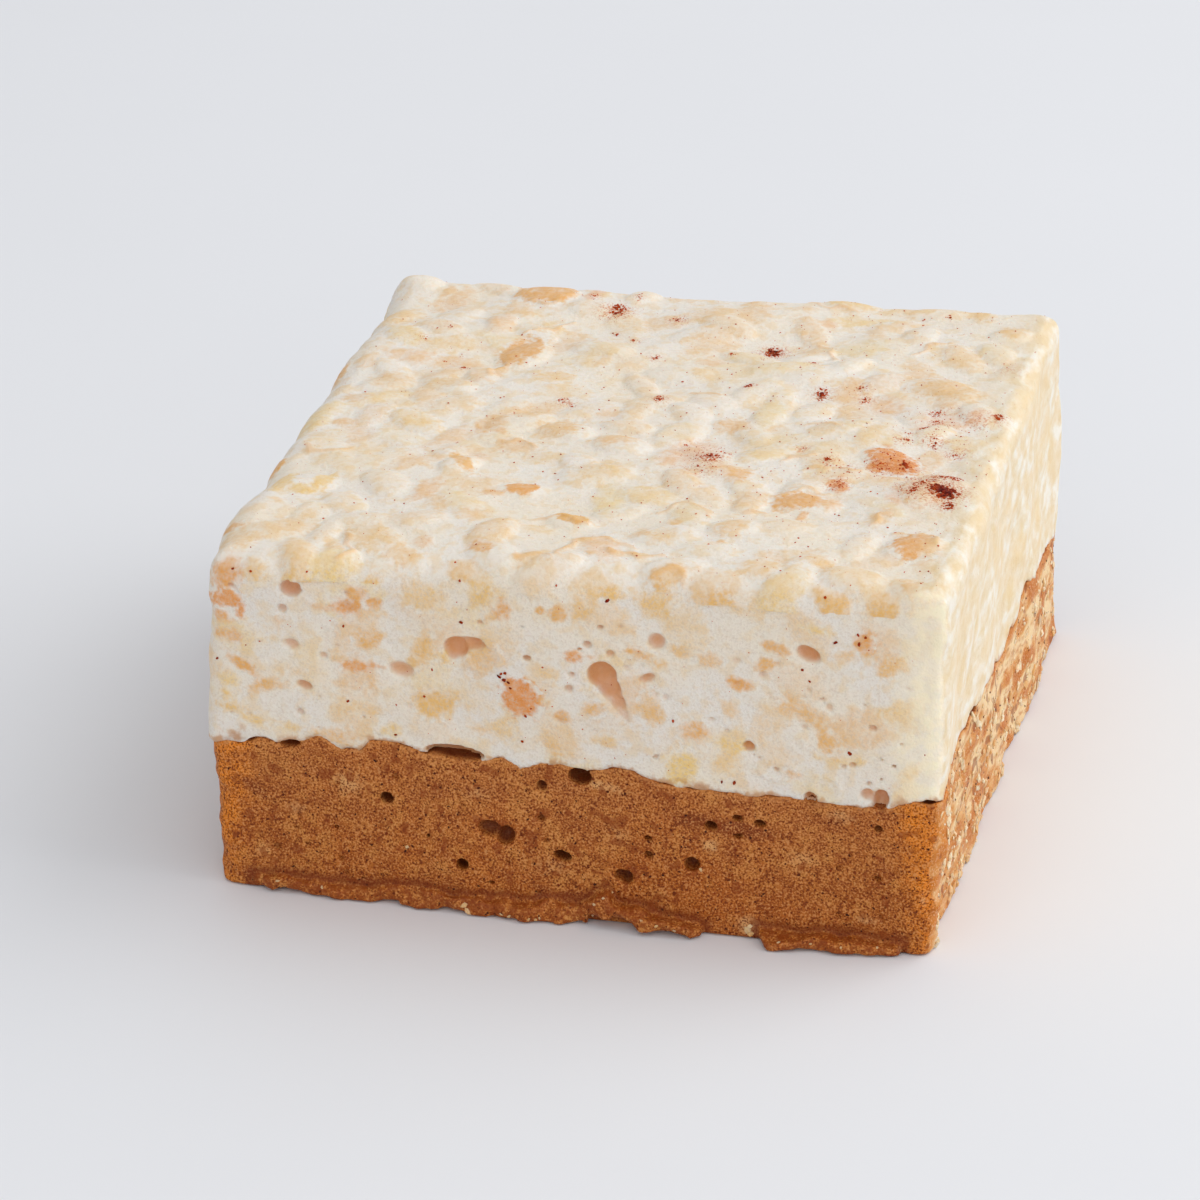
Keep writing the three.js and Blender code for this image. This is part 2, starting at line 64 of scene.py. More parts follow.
CAMERA_PLACE = (0.1032, -0.4450, 0.2344)
CAMERA_TURN = math.radians(-13.75)
CAMERA_DIP = math.radians(25.47)
CAMERA_TILT = math.radians(-0.72)
LENS_MM = 149.04

look = Vector((math.sin(CAMERA_TURN) * math.cos(CAMERA_DIP),
               math.cos(CAMERA_TURN) * math.cos(CAMERA_DIP), -math.sin(CAMERA_DIP)))
level_side = Vector((math.cos(CAMERA_TURN), -math.sin(CAMERA_TURN), 0))
level_head = level_side.cross(look)
side = math.cos(CAMERA_TILT) * level_side + math.sin(CAMERA_TILT) * level_head
head = math.cos(CAMERA_TILT) * level_head - math.sin(CAMERA_TILT) * level_side

lens = bpy.data.cameras.new("camera")
lens.sensor_width = 36
lens.lens = LENS_MM
lens.clip_start = 0.01
lens.clip_end = 20
camera = bpy.data.objects.new("camera", lens)
camera.matrix_world = Matrix.Translation(CAMERA_PLACE) @ Matrix((side, head, -look)).transposed().to_4x4()
bpy.context.scene.collection.objects.link(camera)
bpy.context.scene.camera = camera

# ------------------------------------------------------------------ white marshmallow layer
# The upper layer: puffed rice stirred into white marshmallow and pressed on top of the brown one.
# Its skin set against the tin on three sides and in the open on top; the right side is a knife cut.
# It is carved here on a fine grid of distances to its skin. Lengths are millimetres from here on.

MM = 0.001
STEP = 0.25      # spacing of the grid that the layers are carved on
MOST_TRIANGLES = 190_000
SIDE = 72.0
HALF = SIDE / 2

# The four corners, in the order front left, front right, back left, back right.
FOOT = ((-35.6, -37.5), (35.2, -37.3), (-35.8, 35.8), (36.4, 36.0))
CROWN = ((-36.1, -36.5), (36.4, -35.5), (-36.2, 35.4), (35.8, 35.8))
TOP_AT = (35.2, 37.6, 35.5, 37.0)
JOIN_AT = (15.4, 16.3, 13.2, 12.4)
EDGE_LOW = (2.8, 1.2, 2.5, 1.0)         # radius of each upright edge at the foot
EDGE_HIGH = (2.0, 1.0, 1.6, 0.8)        # and from half way up

# Height of the join with the brown layer along the two sides that show: (place, height).
FRONT_JOIN = (
    (-36, 15.4), (-33, 15.4), (-31, 15.9), (-27.5, 15.9), (-24.6, 16.8), (-22.5, 15.9), (-20.5, 16),
    (-19, 17.7), (-16.5, 16.7), (-14.4, 16.3), (-8.5, 15.8), (-6.6, 16.4), (-5, 15.5), (-1.8, 16.3),
    (1, 15.8), (4.5, 16.5), (6.5, 16.4), (9, 15.4), (21.5, 15.1), (28.5, 14.8), (31.3, 15.2),
    (33.5, 16.2), (36, 16.3),
)
RIGHT_JOIN = ((-36, 16.3), (-13, 16.3), (-8, 15.8), (1, 13.4), (5, 15), (14, 15.2), (22, 13.6), (36, 12.4))
EDGE_BAND = 5                           # the join follows those lines this far in
JOIN_WAVE = 0.45

SOFT_RIM = 3.3                          # radius of the upper rim at the front and left,
BACK_RIM = 2.0                          # at the back,
CUT_RIM = 0.9                           # and where the knife went
RIM_BLEND = 6
JOIN_ROUND = 0.15                       # radius of the white layer's lower edge
LEFT_OVERHANG = 0.4                     # on the left the white slumps over the brown
OVERHANG_HEIGHT = 8
SWELL_TOP = 0.3
SWELL_WALL = 0.28


def draws(seed):
    """A seeded run of even draws."""
    state = seed

    def draw(low, high):
        nonlocal state
        state = (state * 1664525 + 1013904223) % 2**32
        return low + (high - low) * state / 2**32
    return draw


def ease(start, end, value):
    t = np.clip((value - start) / (end - start), 0, 1)
    return t * t * (3 - 2 * t)


def over_corners(x, y, values):
    """Reads four corner values at plan place x, y."""
    s = x / SIDE + 0.5
    t = y / SIDE + 0.5
    front = values[0] + (values[1] - values[0]) * s
    back = values[2] + (values[3] - values[2]) * s
    return front + (back - front) * t


def make_waves():
    """The slow unevenness of the whole square: seven plane waves with seeded headings."""
    draw = draws(11)
    found = []
    for _ in range(7):
        heading = draw(0, 2 * math.pi)
        climb = draw(-0.8, 0.8)
        number = 2 * math.pi / draw(9, 21)
        level = math.cos(climb) * number
        phase = draw(0, 2 * math.pi)
        found.append((math.cos(heading) * level, math.sin(heading) * level, math.sin(climb) * number, phase))
    return found


WAVES = make_waves()


def swell(x, y, z):
    total = 0
    for along_x, along_y, along_z, phase in WAVES:
        total = total + np.sin(along_x * x + along_y * y + along_z * z + phase)
    return total / math.sqrt(len(WAVES))


def swell_grid(axes):
    """The same unevenness over a whole grid, each wave put together from its three directions."""
    total = np.zeros([len(axis) for axis in axes], np.float32)
    for along_x, along_y, along_z, phase in WAVES:
        plan = np.exp(1j * (along_x * axes[0][:, None] + along_y * axes[1][None, :] + phase))
        climb = np.exp(1j * along_z * axes[2])
        total += plan.real.astype(np.float32)[:, :, None] * climb.imag.astype(np.float32)
        total += plan.imag.astype(np.float32)[:, :, None] * climb.real.astype(np.float32)
    return total / math.sqrt(len(WAVES))


def join_height(x, y):
    inside = over_corners(x, y, JOIN_AT)
    wavy = inside + JOIN_WAVE * swell(2 * x, 2 * y, 0)
    front = np.interp(x, *zip(*FRONT_JOIN))
    right = np.interp(y, *zip(*RIGHT_JOIN))
    total = 0
    height = 0
    for distance, value in ((HALF + y, front), (HALF - x, right), (HALF - y, wavy), (HALF + x, wavy)):
        weight = (1 - ease(0, EDGE_BAND, distance)) ** 2
        total = total + weight
        height = height + weight * value
    share = np.minimum(1, total)
    return inside + (height / np.maximum(total, 1e-6) - inside) * share


LOWEST_JOIN = 12.3                      # the join stays between these two heights,
HIGHEST_JOIN = 17.1                     # inside the boxes of both layers


def torn_join(axes):
    """The join's height over the plan of a grid, torn where it comes out, most of all at the cut."""
    x, y, _ = spread(axes)
    plan = (axes[0], axes[1], np.zeros(1, np.float32))
    at_side = ease(-5, -2, wall_distance(x, y, over_corners(x, y, JOIN_AT)))
    at_cut = ease(33, 35.2, x)
    lobes = (0.28 + 0.3 * at_cut) * soft_noise(plan, (1.9, 1.9, 9), 34)
    shreds = (0.3 + 0.15 * at_cut) * soft_noise(plan, (0.7, 0.7, 9), 36)
    return np.clip(join_height(x, y) + at_side * (lobes + shreds), LOWEST_JOIN, HIGHEST_JOIN)


def wall_distance(x, y, z):
    """Distance outside the four upright walls, negative within them."""
    climb = z / over_corners(x, y, TOP_AT)
    square = []
    for axis, place in enumerate((x, y)):
        low = over_corners(x, y, [corner[axis] for corner in FOOT])
        high = over_corners(x, y, [corner[axis] for corner in CROWN])
        square.append(2 * place - low - (high - low) * climb)
    across, deep = square
    lift = np.minimum(1, 2 * climb)
    radii = [low + (high - low) * lift for low, high in zip(EDGE_LOW, EDGE_HIGH)]
    radius = np.where(deep < 0, np.where(across < 0, radii[0], radii[1]),
                      np.where(across < 0, radii[2], radii[3]))
    out_x = np.abs(across) - HALF + radius
    out_y = np.abs(deep) - HALF + radius
    beyond = np.hypot(np.maximum(out_x, 0), np.maximum(out_y, 0))
    return np.minimum(np.maximum(out_x, out_y), 0) + beyond - radius


def rim_radius(x, y):
    start = HALF - 1 - RIM_BLEND
    of_depth = SOFT_RIM + (BACK_RIM - SOFT_RIM) * ease(start, HALF - 1, y)
    return of_depth + (CUT_RIM - of_depth) * ease(start, HALF - 1, x)


def round_meeting(a, b, radius):
    """Distance outside the overlap of two surfaces, with the edge where they meet rounded."""
    corner = np.hypot(np.maximum(a + radius, 0), np.maximum(b + radius, 0))
    return np.minimum(np.maximum(a, b), -radius) + corner


NOISE_START = -45                       # below every grid, so that both layers share each noise


def grid_axes(low, high):
    return [np.arange(low[k], high[k] + STEP, STEP, dtype=np.float32) for k in range(3)]


def spread(axes):
    """The grid's axes shaped so that sums of them fill the whole grid."""
    return axes[0][:, None, None], axes[1][None, :, None], axes[2][None, None, :]


def soft_noise(axes, cells, seed):
    """Smooth seeded noise over a grid, about -1 to 1, from a coarse lattice of draws."""
    weights = []
    for axis, cell in zip(axes, cells):
        place = (axis - NOISE_START) / cell
        knot = np.floor(place).astype(int)
        f = place - knot
        matrix = np.zeros((len(axis), knot[-1] + 4), np.float32)
        row = np.arange(len(axis))
        matrix[row, knot] = (1 - f) ** 3 / 6
        matrix[row, knot + 1] = (3 * f**3 - 6 * f**2 + 4) / 6
        matrix[row, knot + 2] = (-3 * f**3 + 3 * f**2 + 3 * f + 1) / 6
        matrix[row, knot + 3] = f**3 / 6
        weights.append(matrix)
    lattice = np.random.RandomState(seed).uniform(-1.9, 1.9, [w.shape[1] for w in weights]).astype(np.float32)
    filled = np.tensordot(weights[0], lattice, (1, 0))
    filled = np.tensordot(weights[1], filled, (1, 1)).transpose(1, 0, 2)
    return np.ascontiguousarray(filled @ weights[2].T)


# The faces of the square: outward, along and upward directions, and each one's seed.
FACES = {
    "top": ((0, 0, 1), (1, 0, 0), (0, 1, 0), 101),
    "front": ((0, -1, 0), (1, 0, 0), (0, 0, 1), 202),
    "right": ((1, 0, 0), (0, 1, 0), (0, 0, 1), 303),
    "back": ((0, 1, 0), (-1, 0, 0), (0, 0, 1), 404),
    "left": ((-1, 0, 0), (0, -1, 0), (0, 0, 1), 505),
}
PUFF_PROUD = {"top": 0.85, "front": 0.3, "right": 0.2, "back": 0.45, "left": 0.45}
PUFF_LENGTH = (4.8, 6.8)
PUFF_WIDTH = (2.8, 3.6)
PUFF_PITCH = (5.4, 4.0)
SKIN_OVERLAP = 1.25                     # the skin bulges a little wider than the puff under it
FILM_LEVELLING = 0.62                   # the marshmallow film fills up round the puffs
PUFF_WARP = 0.45                        # how far the outlines of puffs wander
PUFF_DEPTH = 2.6                        # puffs of a face leave the faces round the corner alone

# Puffs that stand out most on the top: (x, y, length, width, heading in degrees, how proud).
TOP_PUFFS = (
    (-33.4, 24, 5.8, 3.6, 20, 0.8), (-33.2, 33.6, 4.6, 3.2, 0, 0.9), (-29.3, 6.3, 5, 3.4, 30, 0.7),
    (-22.7, 6.2, 5.4, 3.6, -20, 0.8), (-30.9, -19.2, 5.6, 3.8, 10, 1), (-16.4, -13, 4.8, 3.4, 60, 0.9),
    (-8.9, -17.8, 4.4, 2.8, 0, 0.6), (-2.3, -24.1, 4.6, 3, -15, 0.8), (-13.2, -1.5, 6.6, 3.8, 35, 1),
    (-8.2, -3.4, 5.6, 3.4, -10, 0.9), (-16.8, 15.7, 6.4, 3.8, 75, 1), (-18.7, 31.8, 6.4, 3.6, 5, 1),
    (-2.6, -13.7, 6.6, 3.8, 20, 0.9), (-1.7, -6.3, 5.4, 3.6, -25, 0.9), (-9.1, -28.4, 6, 3.4, 80, 0.9),
    (0.2, 23.6, 6.4, 4, 15, 0.8), (13.5, 35, 5.4, 3.4, 0, 0.7), (31.6, 28.5, 4, 3, 20, 0.8),
    (26.2, 13.5, 6.8, 4, -10, 0.9), (12, 20.1, 5, 3.6, 40, 0.7), (-0.1, 13, 6.2, 3.8, 0, 0.8),
    (18.8, -16.8, 6.4, 4, -15, 1), (31.2, -25.7, 5.6, 4, 35, 1), (25.1, -5.7, 5.8, 3.8, -35, 0.9),
    (13.8, -24.4, 5, 3.4, 10, 0.7), (7.3, -27, 5.6, 3.8, -5, 0.7), (9.6, -33.2, 5.4, 3.6, 15, 0.9),
    (-7.9, -33, 4.8, 3.4, -30, 0.8),
)
PUFF_ROOM = 3.2
CORNER_ROOM = 1

# Rice that shows through the skin of the top: (x, y, length, width, heading in degrees, how clearly
# it shows, tone from 0 for straw yellow by 0.5 for tan to 1 for orange pink).
TOP_RICE = (
    (-33.8, 35.3, 2.6, 1.8, 0, .6, .4), (-29.4, 31.9, 2, 1.4, 80, .5, .5),
    (-18.8, 32.2, 6.5, 5.5, 0, .8, .6), (-21.5, 34.8, 3, 3, 0, .5, .6), (-23.4, 36, 3, 2, 0, .4, .6),
    (-17, 36.4, 3.4, 2, 0, .45, .7), (-13.6, 32.6, 3.4, 1.5, 80, .5, .9), (-11, 35.4, 4, 4, 0, .4, .3),
    (-6.5, 36.2, 4, 3.6, 0, .65, .5), (-2.2, 35.3, 5, 4, 0, .5, .25), (-33, 24, 6.5, 5.2, 0, .6, .3),
    (-26, 27.5, 4, 1.8, 75, .35, .3), (-20.7, 27.4, 4.4, 3, -60, .5, .4),
    (-16, 23, 4.6, 2.2, -50, .5, .2), (-13.4, 22.3, 3, 2, 0, .35, .4),
    (-17.6, 16.2, 7.6, 3.6, 82, .8, .6), (-19, 11, 5, 1.3, 80, .5, .5), (-21.2, 17, 3, 2, 0, .3, .4),
    (-9, 17, 7, 3.4, 60, .42, .15), (-8.5, 14.6, 2.6, 1.6, 70, .5, .35), (0, 28.6, 5, 4, 20, .45, .4),
    (1.2, 22, 8, 5, 80, .45, .4), (-29.4, 13.8, 4, 3, 0, .35, .4), (-32.8, 11.4, 3.4, 2.4, 80, .4, .4),
    (-35.8, 10.6, 4, 1.8, 85, .75, .55), (-12.4, 10, 5.2, 2.6, -10, .6, .3),
    (-11, 6.4, 5, 4, 0, .35, .25), (-26, 9.8, 4, 2, 0, .3, .3), (-29, 7, 4.6, 3.6, 0, .48, .4),
    (-22.8, 6.8, 4.2, 3.6, 0, .55, .35), (-31.5, 1.7, 3.2, 2.6, 0, .52, .45), (-27, 1, 4, 2.6, 0, .3, .2),
    (-5, 1.4, 2.6, 2, 0, .45, .5), (-12.6, 1.4, 6, 3.4, 35, .5, .45), (-34.5, 4.4, 3, 3, 0, .35, .3),
    (3.7, 32.8, 2.8, 2.6, 0, .55, .4), (9.5, 31.8, 2.4, 1.8, 0, .4, .45), (12.5, 28.8, 3, 2, 70, .5, .6),
    (13.5, 35.2, 6, 4.2, -30, .6, .25), (20, 34.3, 5, 3, 0, .45, .3), (27.2, 34, 5, 3, -60, .6, .3),
    (31.8, 29, 3.6, 3.2, 60, .7, .4), (18.3, 26, 2.6, 2.4, 0, .45, .4),
    (21.8, 26.7, 3.6, 1.1, -70, .35, .3), (25.4, 22.5, 5, 2.4, -70, .45, .2),
    (33.4, 20.6, 5, 2.2, 80, .5, .45), (11.9, 21.5, 3.8, 3, -40, .52, .35),
    (2.6, 16.6, 3, 2.4, 0, .4, .6), (3, 13, 4.4, 3.6, 0, .4, .2), (17.2, 12.5, 3.2, 3, 0, .5, .25),
    (20.8, 16.2, 1.7, 1.4, 0, .5, .2), (23.6, 18.5, 3, 2, 70, .35, .4),
    (27.3, 12.2, 7.4, 5, -25, .62, .4), (22, 8, 5, 3.6, -60, .5, .6), (3.8, 7.7, 3.6, 1.1, 5, .4, .4),
    (11.5, 6, 6, 4, 0, .35, .2), (32.5, 5.5, 4, 2.8, 0, .6, .9), (8, 1, 4, 3, 0, .6, .5),
    (12, .4, 2.5, 2, 0, .45, .4), (17.5, .4, 3.2, 2.4, 0, .45, .3), (-30.5, -4, 2.6, 1.8, 0, .55, .5),
    (-31.5, -8.5, 6, 3, 75, .35, .2), (-35.2, -14, 2.8, 1.7, 80, .85, .6),
    (-33, -19.3, 4.6, 1.9, 80, .72, .15), (-29, -18.8, 4.4, 1.8, 75, .72, .15),
    (-31, -21.2, 3, 1.4, 0, .7, .15), (-35, -29.3, 3, 1.5, -15, .75, .6),
    (-33.5, -32.5, 4.8, 3.6, -60, .5, .35), (-30.7, -36.4, 2, 2, 0, .5, .3),
    (-27.8, -26.5, 3, 1.6, -60, .42, .3), (-32.2, -24, 1.5, 1.1, 0, .4, .4),
    (-21.6, -11.5, 2.6, 2, 0, .35, .4), (-16.1, -2.6, 5.4, 3, 72, .62, .5),
    (-14.7, -4.2, 2, 1.2, -60, .6, .6), (-9, -3, 5, 4.2, 70, .62, .42),
    (-12.5, -7.5, 3.6, 3.2, 0, .45, .5), (-16.2, -8.6, 2.6, 2, 0, .45, .4),
    (-19, -9, 2.4, 1.2, 70, .35, .4), (-16.3, -12.8, 5.6, 1.7, -58, .78, .5),
    (-15, -10.6, 3, 1.8, -60, .35, .7), (-9.2, -17.7, 3.6, 2.5, -8, .88, .7),
    (-11.6, -19, 2.2, 1.3, 0, .6, .6), (-18.5, -19.4, 5, 2.4, 75, .52, .6),
    (-16.7, -22, 4.6, 2, -55, .46, .4), (-12.2, -24.8, 3.4, 3, 50, .52, .4),
    (-9.2, -28.4, 6, 3.8, 80, .46, .35), (-9.4, -32, 2.8, 1.6, -50, .7, .6),
    (-5.5, -27, 4, 2.4, 0, .32, .3), (-2.2, -23.9, 4.2, 1.9, -25, .88, .5),
    (-2.4, -5.6, 4.6, 3.2, 0, .58, .45), (-2.4, -13.2, 6, 4.4, 35, .48, .25),
    (-9, -10, 5, 3, 0, .36, .25), (-17, -33.3, 4.2, 2.4, -40, .56, .4), (-19, -36.4, 2.2, 1.8, 0, .6, .3),
    (-23.4, -33, 4, 1.6, -60, .46, .35), (-15.5, -31, 2.2, 1.8, 0, .5, .6),
    (-4, -33.4, 3.2, 2.5, 0, .5, .35), (-.8, -30.4, 5, 1.1, 65, .5, .42),
    (1.8, -28.3, 3.6, 1.1, -10, .45, .38), (6, -31.1, 2.2, .9, 0, .45, .4),
    (9.2, -34, 3.4, 2, 8, .62, .4), (4.7, -26.6, 1.8, 1.7, 0, .6, .4),
    (7.4, -24.1, 1.9, 1.4, -40, .6, .38), (7, -27.3, 3.4, 2.6, 70, .5, .32),
    (13.5, -24.3, 3.8, 3, 70, .56, .38), (12.7, -28, 1.5, .8, 80, .6, .5),
    (5.4, -7, 7.6, 4.6, 80, .42, .78), (11.3, -12, 3.4, 3, 60, .72, .55),
    (6.5, -12.2, 3, 2.2, 0, .45, .45), (13.8, -2.4, 4.4, 3.4, 0, .42, .12),
    (11, -3.6, 2.4, 2, 0, .42, .12), (18.6, -5, 5, 3.4, 60, .42, .2),
    (23.8, -1.6, 3.6, 1.8, 10, .46, .12), (25.3, -6.4, 6.6, 4.2, -55, .95, .95),
    (21.3, -12.4, 2.8, 1.7, -65, .75, .95), (18, -16.6, 4.8, 4.2, -10, .82, .62),
    (19.3, -19.6, 2.6, 1, 80, .7, .7), (21.3, -16.6, 3, 1.8, -60, .5, .6),
    (26.7, -19.6, 4, 1.8, 75, .5, .4), (31.5, -25.6, 5.6, 4.6, -50, .86, .68),
    (32, -33.6, 2.6, 1.9, 60, .66, .45), (34.4, -30.6, 2, 1.5, 0, .42, .3),
    (23.2, -31, 4.4, 1.8, -55, .6, .38), (17.5, -32.5, 3.8, 3.4, 0, .5, .35),
    (20, -29.3, 2.4, 2, 0, .4, .3), (25.3, -35.5, 3.4, 1.7, -20, .56, .4),
    (30, -35.6, 3, 1.7, -15, .56, .4), (2.5, -35.8, 5, 2.6, 0, .38, .3),
    (14.5, -36, 2.6, 2.2, 60, .6, .4), (29.6, -14, 6, 5, 40, .4, .95), (28.5, 4, 6, 4, 60, .3, .9),
)
# The same for the front, with the height above the floor in place of y.
FRONT_RICE = (
    (-33.3, 33.2, 3.8, 2.8, 60, .55, .75), (-33.6, 30.5, 3.4, 2, 0, .8, .88),
    (-32.2, 29.5, 1.8, 1, 80, .72, .9), (-34, 28.8, 2, 1.2, -30, .5, .7),
    (-33.6, 26.9, 2.4, 1.1, 0, .5, .6), (-32.4, 23.8, 3.8, 1.1, -40, .62, .6),
    (-30, 21.7, 3.8, 1.3, 5, .5, .5), (-33.5, 22.3, 2, 1.5, -20, .42, .1), (-34, 20.7, 1, 1, 0, .5, .2),
    (-33.4, 19.3, 3, .9, -8, .5, .25), (-31.5, 18.3, 3, .8, -20, .45, .2),
    (-27.4, 18, 2.2, .9, -15, .4, .2), (-21.6, 30.7, 2.6, 1.5, 10, .6, .78),
    (-23.6, 30.4, 2.6, .8, 0, .3, .6), (-20.7, 32, 2.2, 1.4, 0, .6, .6),
    (-19.2, 31.2, 1.7, .9, 10, .6, .65), (-28.7, 28.8, 1.8, 1.3, 70, .32, .5),
    (-19.7, 27.6, 2.5, 1.7, 0, .6, .5), (-23, 26, 2, 1.2, 0, .3, .4), (-20.4, 24.7, 3.8, 1, 0, .6, .82),
    (-19.4, 23.3, 2, 1.4, 80, .36, .5), (-22, 22.5, 3, .9, -20, .32, .5), (-27, 24, 2, 1, 0, .28, .4),
    (-21, 20.2, 5, 1.5, 0, .36, .35), (-17.2, 18.2, 1.9, 1.5, 0, .45, .15),
    (-14.6, 26.8, 3.8, 2, 70, .5, .4), (-13, 21.5, 3.8, 2.8, 0, .56, .35),
    (-23, 17.4, 4.2, 1.7, -5, .45, .5), (-13.8, 32.3, 4, 2.6, 0, .4, .3), (-10.6, 35, 3, 1.5, 0, .5, .4),
    (-8.4, 33.4, 3.4, 2.6, -50, .5, .25), (-6.4, 31.8, 2.4, 1.6, -50, .5, .68),
    (-7.6, 31, 1.6, 1.1, 0, .4, .4), (-2.9, 32.4, 1.1, .9, 0, .62, .55),
    (-1.2, 32.4, 1.8, 1.6, 0, .56, .55), (.7, 33.2, 2.6, 2, 60, .45, .35),
    (3.8, 34.4, 2.6, 1.1, 0, .55, .3), (8, 33.8, 4, 2.4, -20, .5, .3), (-8, 26.6, 3.6, 3, 45, .42, .45),
    (-12.1, 26.7, 1.6, 1.2, 80, .5, .25), (.4, 28, 1.8, 1.5, 0, .6, .85), (2, 28.1, 1.1, .5, 0, .4, .6),
    (6.3, 28.7, 2.5, .9, -15, .62, .55), (8.8, 27.7, 1.7, .8, -15, .5, .4),
    (10.8, 29.3, 1.9, 1.3, -20, .4, .4), (-4.6, 23, 4.4, 3.1, -58, 1, .98), (-2, 26, 1.9, 1.6, 0, .4, .3),
    (-6.3, 19.3, 3, 2.4, 70, .36, .25), (-8.8, 18.8, 1.7, 1.1, 0, .36, .35),
    (-.2, 21.3, 1.5, 1.3, 0, .5, .62), (2.5, 22.6, 1.7, 1.4, 0, .5, .5),
    (8.1, 23.2, 3.8, 2.4, -60, .46, .45), (-1.3, 17.9, 2.1, 1, -20, .46, .4),
    (3.8, 19.5, 1.7, 1.6, 0, .35, .3), (11, 17.4, 3.8, 2.6, 80, .6, .08),
    (12.2, 21.3, 2.1, 1.7, 0, .56, .6), (13.8, 28.7, 2.1, 1.8, 0, .42, .5),
    (16.5, 26.4, 2.6, 1.3, -5, .6, .66), (15.5, 23.9, 1.7, 1.6, 0, .36, .4),
    (19.8, 30.7, 2.9, 1.2, -15, .52, .6), (18.9, 28.6, 2, 1.6, 40, .56, .56),
    (16, 20.2, 4.6, 1.3, 0, .52, .15), (15.5, 18.5, 3, 2.6, 0, .36, .28),
    (23, 24.3, 5, 2.3, -20, .46, .5), (25.2, 21.6, 2.8, 2, -50, .56, .5),
    (27.8, 22, 2.3, 1.8, 0, .32, .5), (28.2, 32.1, 2.4, 1.8, -50, .68, .75),
    (27, 30.6, 4, 1.1, 5, .36, .4), (31, 29.3, 3.5, 1.9, 12, .62, .46), (32, 25.4, 4, 1.7, 15, .5, .3),
    (32.5, 24, 3, 1.7, 0, .4, .25), (26.5, 19.8, 5, 1, 0, .4, .2), (22, 17.9, 1.7, .9, 0, .4, .5),
    (33, 19.5, 2.4, 1.7, 50, .52, .3), (33, 17.4, 3, 2.2, 0, .4, .3), (23.4, 33, 3.2, .9, -12, .46, .12),
    (-25, 34, 3, 1.6, 0, .36, .25), (17, 34.6, 4, 2.4, 0, .3, .3),
)

# Open bubbles of the front: (x, height, width, tallness, depth, lean in degrees).
FRONT_BUBBLES = (
    (-27.1, 32.3, 2.1, 1.8, 1, 0), (-27.3, 26.4, 1.7, 1.1, .8, -10), (-26.1, 22.2, 1.7, .9, .8, -15),
    (-16.5, 24.7, 2.8, 1.7, 1, -8), (-11, 27.6, 2.5, 2.2, 1.3, 0), (-9.6, 28.2, 3.2, 1.3, .8, 0),
    (-11.3, 26.9, 1.2, 1.4, .9, 0), (3.2, 26.1, 2.9, 2.8, 1.6, 0), (3.9, 24.9, 2.2, 3, 1.3, 28),
    (4.7, 23.6, 1.5, 2.6, .9, 28), (5.3, 22.4, 1, 2, .5, 28), (8.4, 30, 1.9, 1.8, 1, -20),
    (22.9, 30.1, 2.6, 1.6, 1.2, -24), (7.6, 26.2, 1.8, .9, .8, 22), (-28, 30.1, 1, 1, .6, 0),
    (-21.7, 30.7, 1.4, 1.4, .4, 0), (-17.7, 31.1, 1.3, .9, .4, 0), (-24.1, 25.5, .9, .7, .6, -15),
    (-17.3, 27.2, .9, .7, .5, 0), (-26.6, 19.4, .9, .6, .5, -30), (-4, 27.3, .9, .7, .5, 0),
    (0, 24.4, .9, .8, .6, 0), (.3, 25.9, .7, .6, .5, 0), (1.8, 29.2, .9, .8, .5, 0),
    (4, 28.4, 1, .7, .6, 0), (9.4, 24.4, .8, .7, .5, 0), (18.6, 27.6, 1, .7, .6, 10),
    (16.1, 28.8, 1.2, .7, .5, 0), (17.6, 20.2, 1.2, 1, .8, -20), (25.1, 24.9, .9, .7, .6, -20),
    (24.4, 25.6, .6, .5, .5, 0), (22.8, 22.7, .7, .5, .5, 0), (23.1, 26.5, .5, .5, .5, 0),
    (29.4, 23.3, .9, .5, .4, 0), (13.9, 22.6, .9, .5, .4, 0), (22.7, 25.7, .6, .5, .4, 0),
    (19.3, 25.6, .7, .5, .4, 0), (-18.4, 26.5, .6, .5, .4, 0), (20, 28.9, .6, .5, .4, 0),
)
# Clefts at the join, where the white lobes do not touch the brown.
JOIN_CLEFTS = (
    (-11.2, 16.5, 5.8, 1.5, 2.6, -5), (1.1, 15.2, 2.4, 1.8, 2.4, -6), (30.5, 16, 1.6, 2.2, 1.2, -12),
    (29.2, 16.4, 1.4, 1.2, .7, 0), (-27.8, 15.8, 2.2, .8, 1.6, 8), (23.7, 15.4, 1.3, 1.2, 1.2, 0),
)

# Thin raised rings on the front, where a bubble's film burst: (x, height, half width, half height).
FRONT_RINGS = ((20.5, 18, 1.65, 0.95), (25.2, 16.6, 1.35, 1.3), (-8.2, 27, 1.7, 1.5), (22.3, 21, 0.65, 0.6))
RING_HEIGHT = 0.22
RING_THICKNESS = 0.25


def face_point(face, s, v):
    """A point on the bare skin of a face: s along it and v up it, or x and y on the top."""
    if face == "top":
        return s, v, over_corners(s, v, TOP_AT)
    out, along = FACES[face][:2]
    x = out[0] * HALF + along[0] * s
    y = out[1] * HALF + along[1] * s
    climb = v / over_corners(x, y, TOP_AT)
    place = [over_corners(x, y, [low[k] + (high[k] - low[k]) * climb for low, high in zip(FOOT, CROWN)])
             for k in (0, 1)]
    return place[0], place[1], v


def make_puff(face, s, v, length, width, heading, proud, shows=0.0, tone=0.0):
    out, along, up, _ = FACES[face]
    cosine = math.cos(heading)
    sine = math.sin(heading)
    return {
        "centre": face_point(face, s, v),
        "out": out,
        "lengthwise": [a * cosine + u * sine for a, u in zip(along, up)],
        "crosswise": [u * cosine - a * sine for a, u in zip(along, up)],
        "half": (length / 2 * SKIN_OVERLAP, width / 2 * SKIN_OVERLAP),
        "proud": proud * FILM_LEVELLING, "shows": shows, "tone": tone,
    }


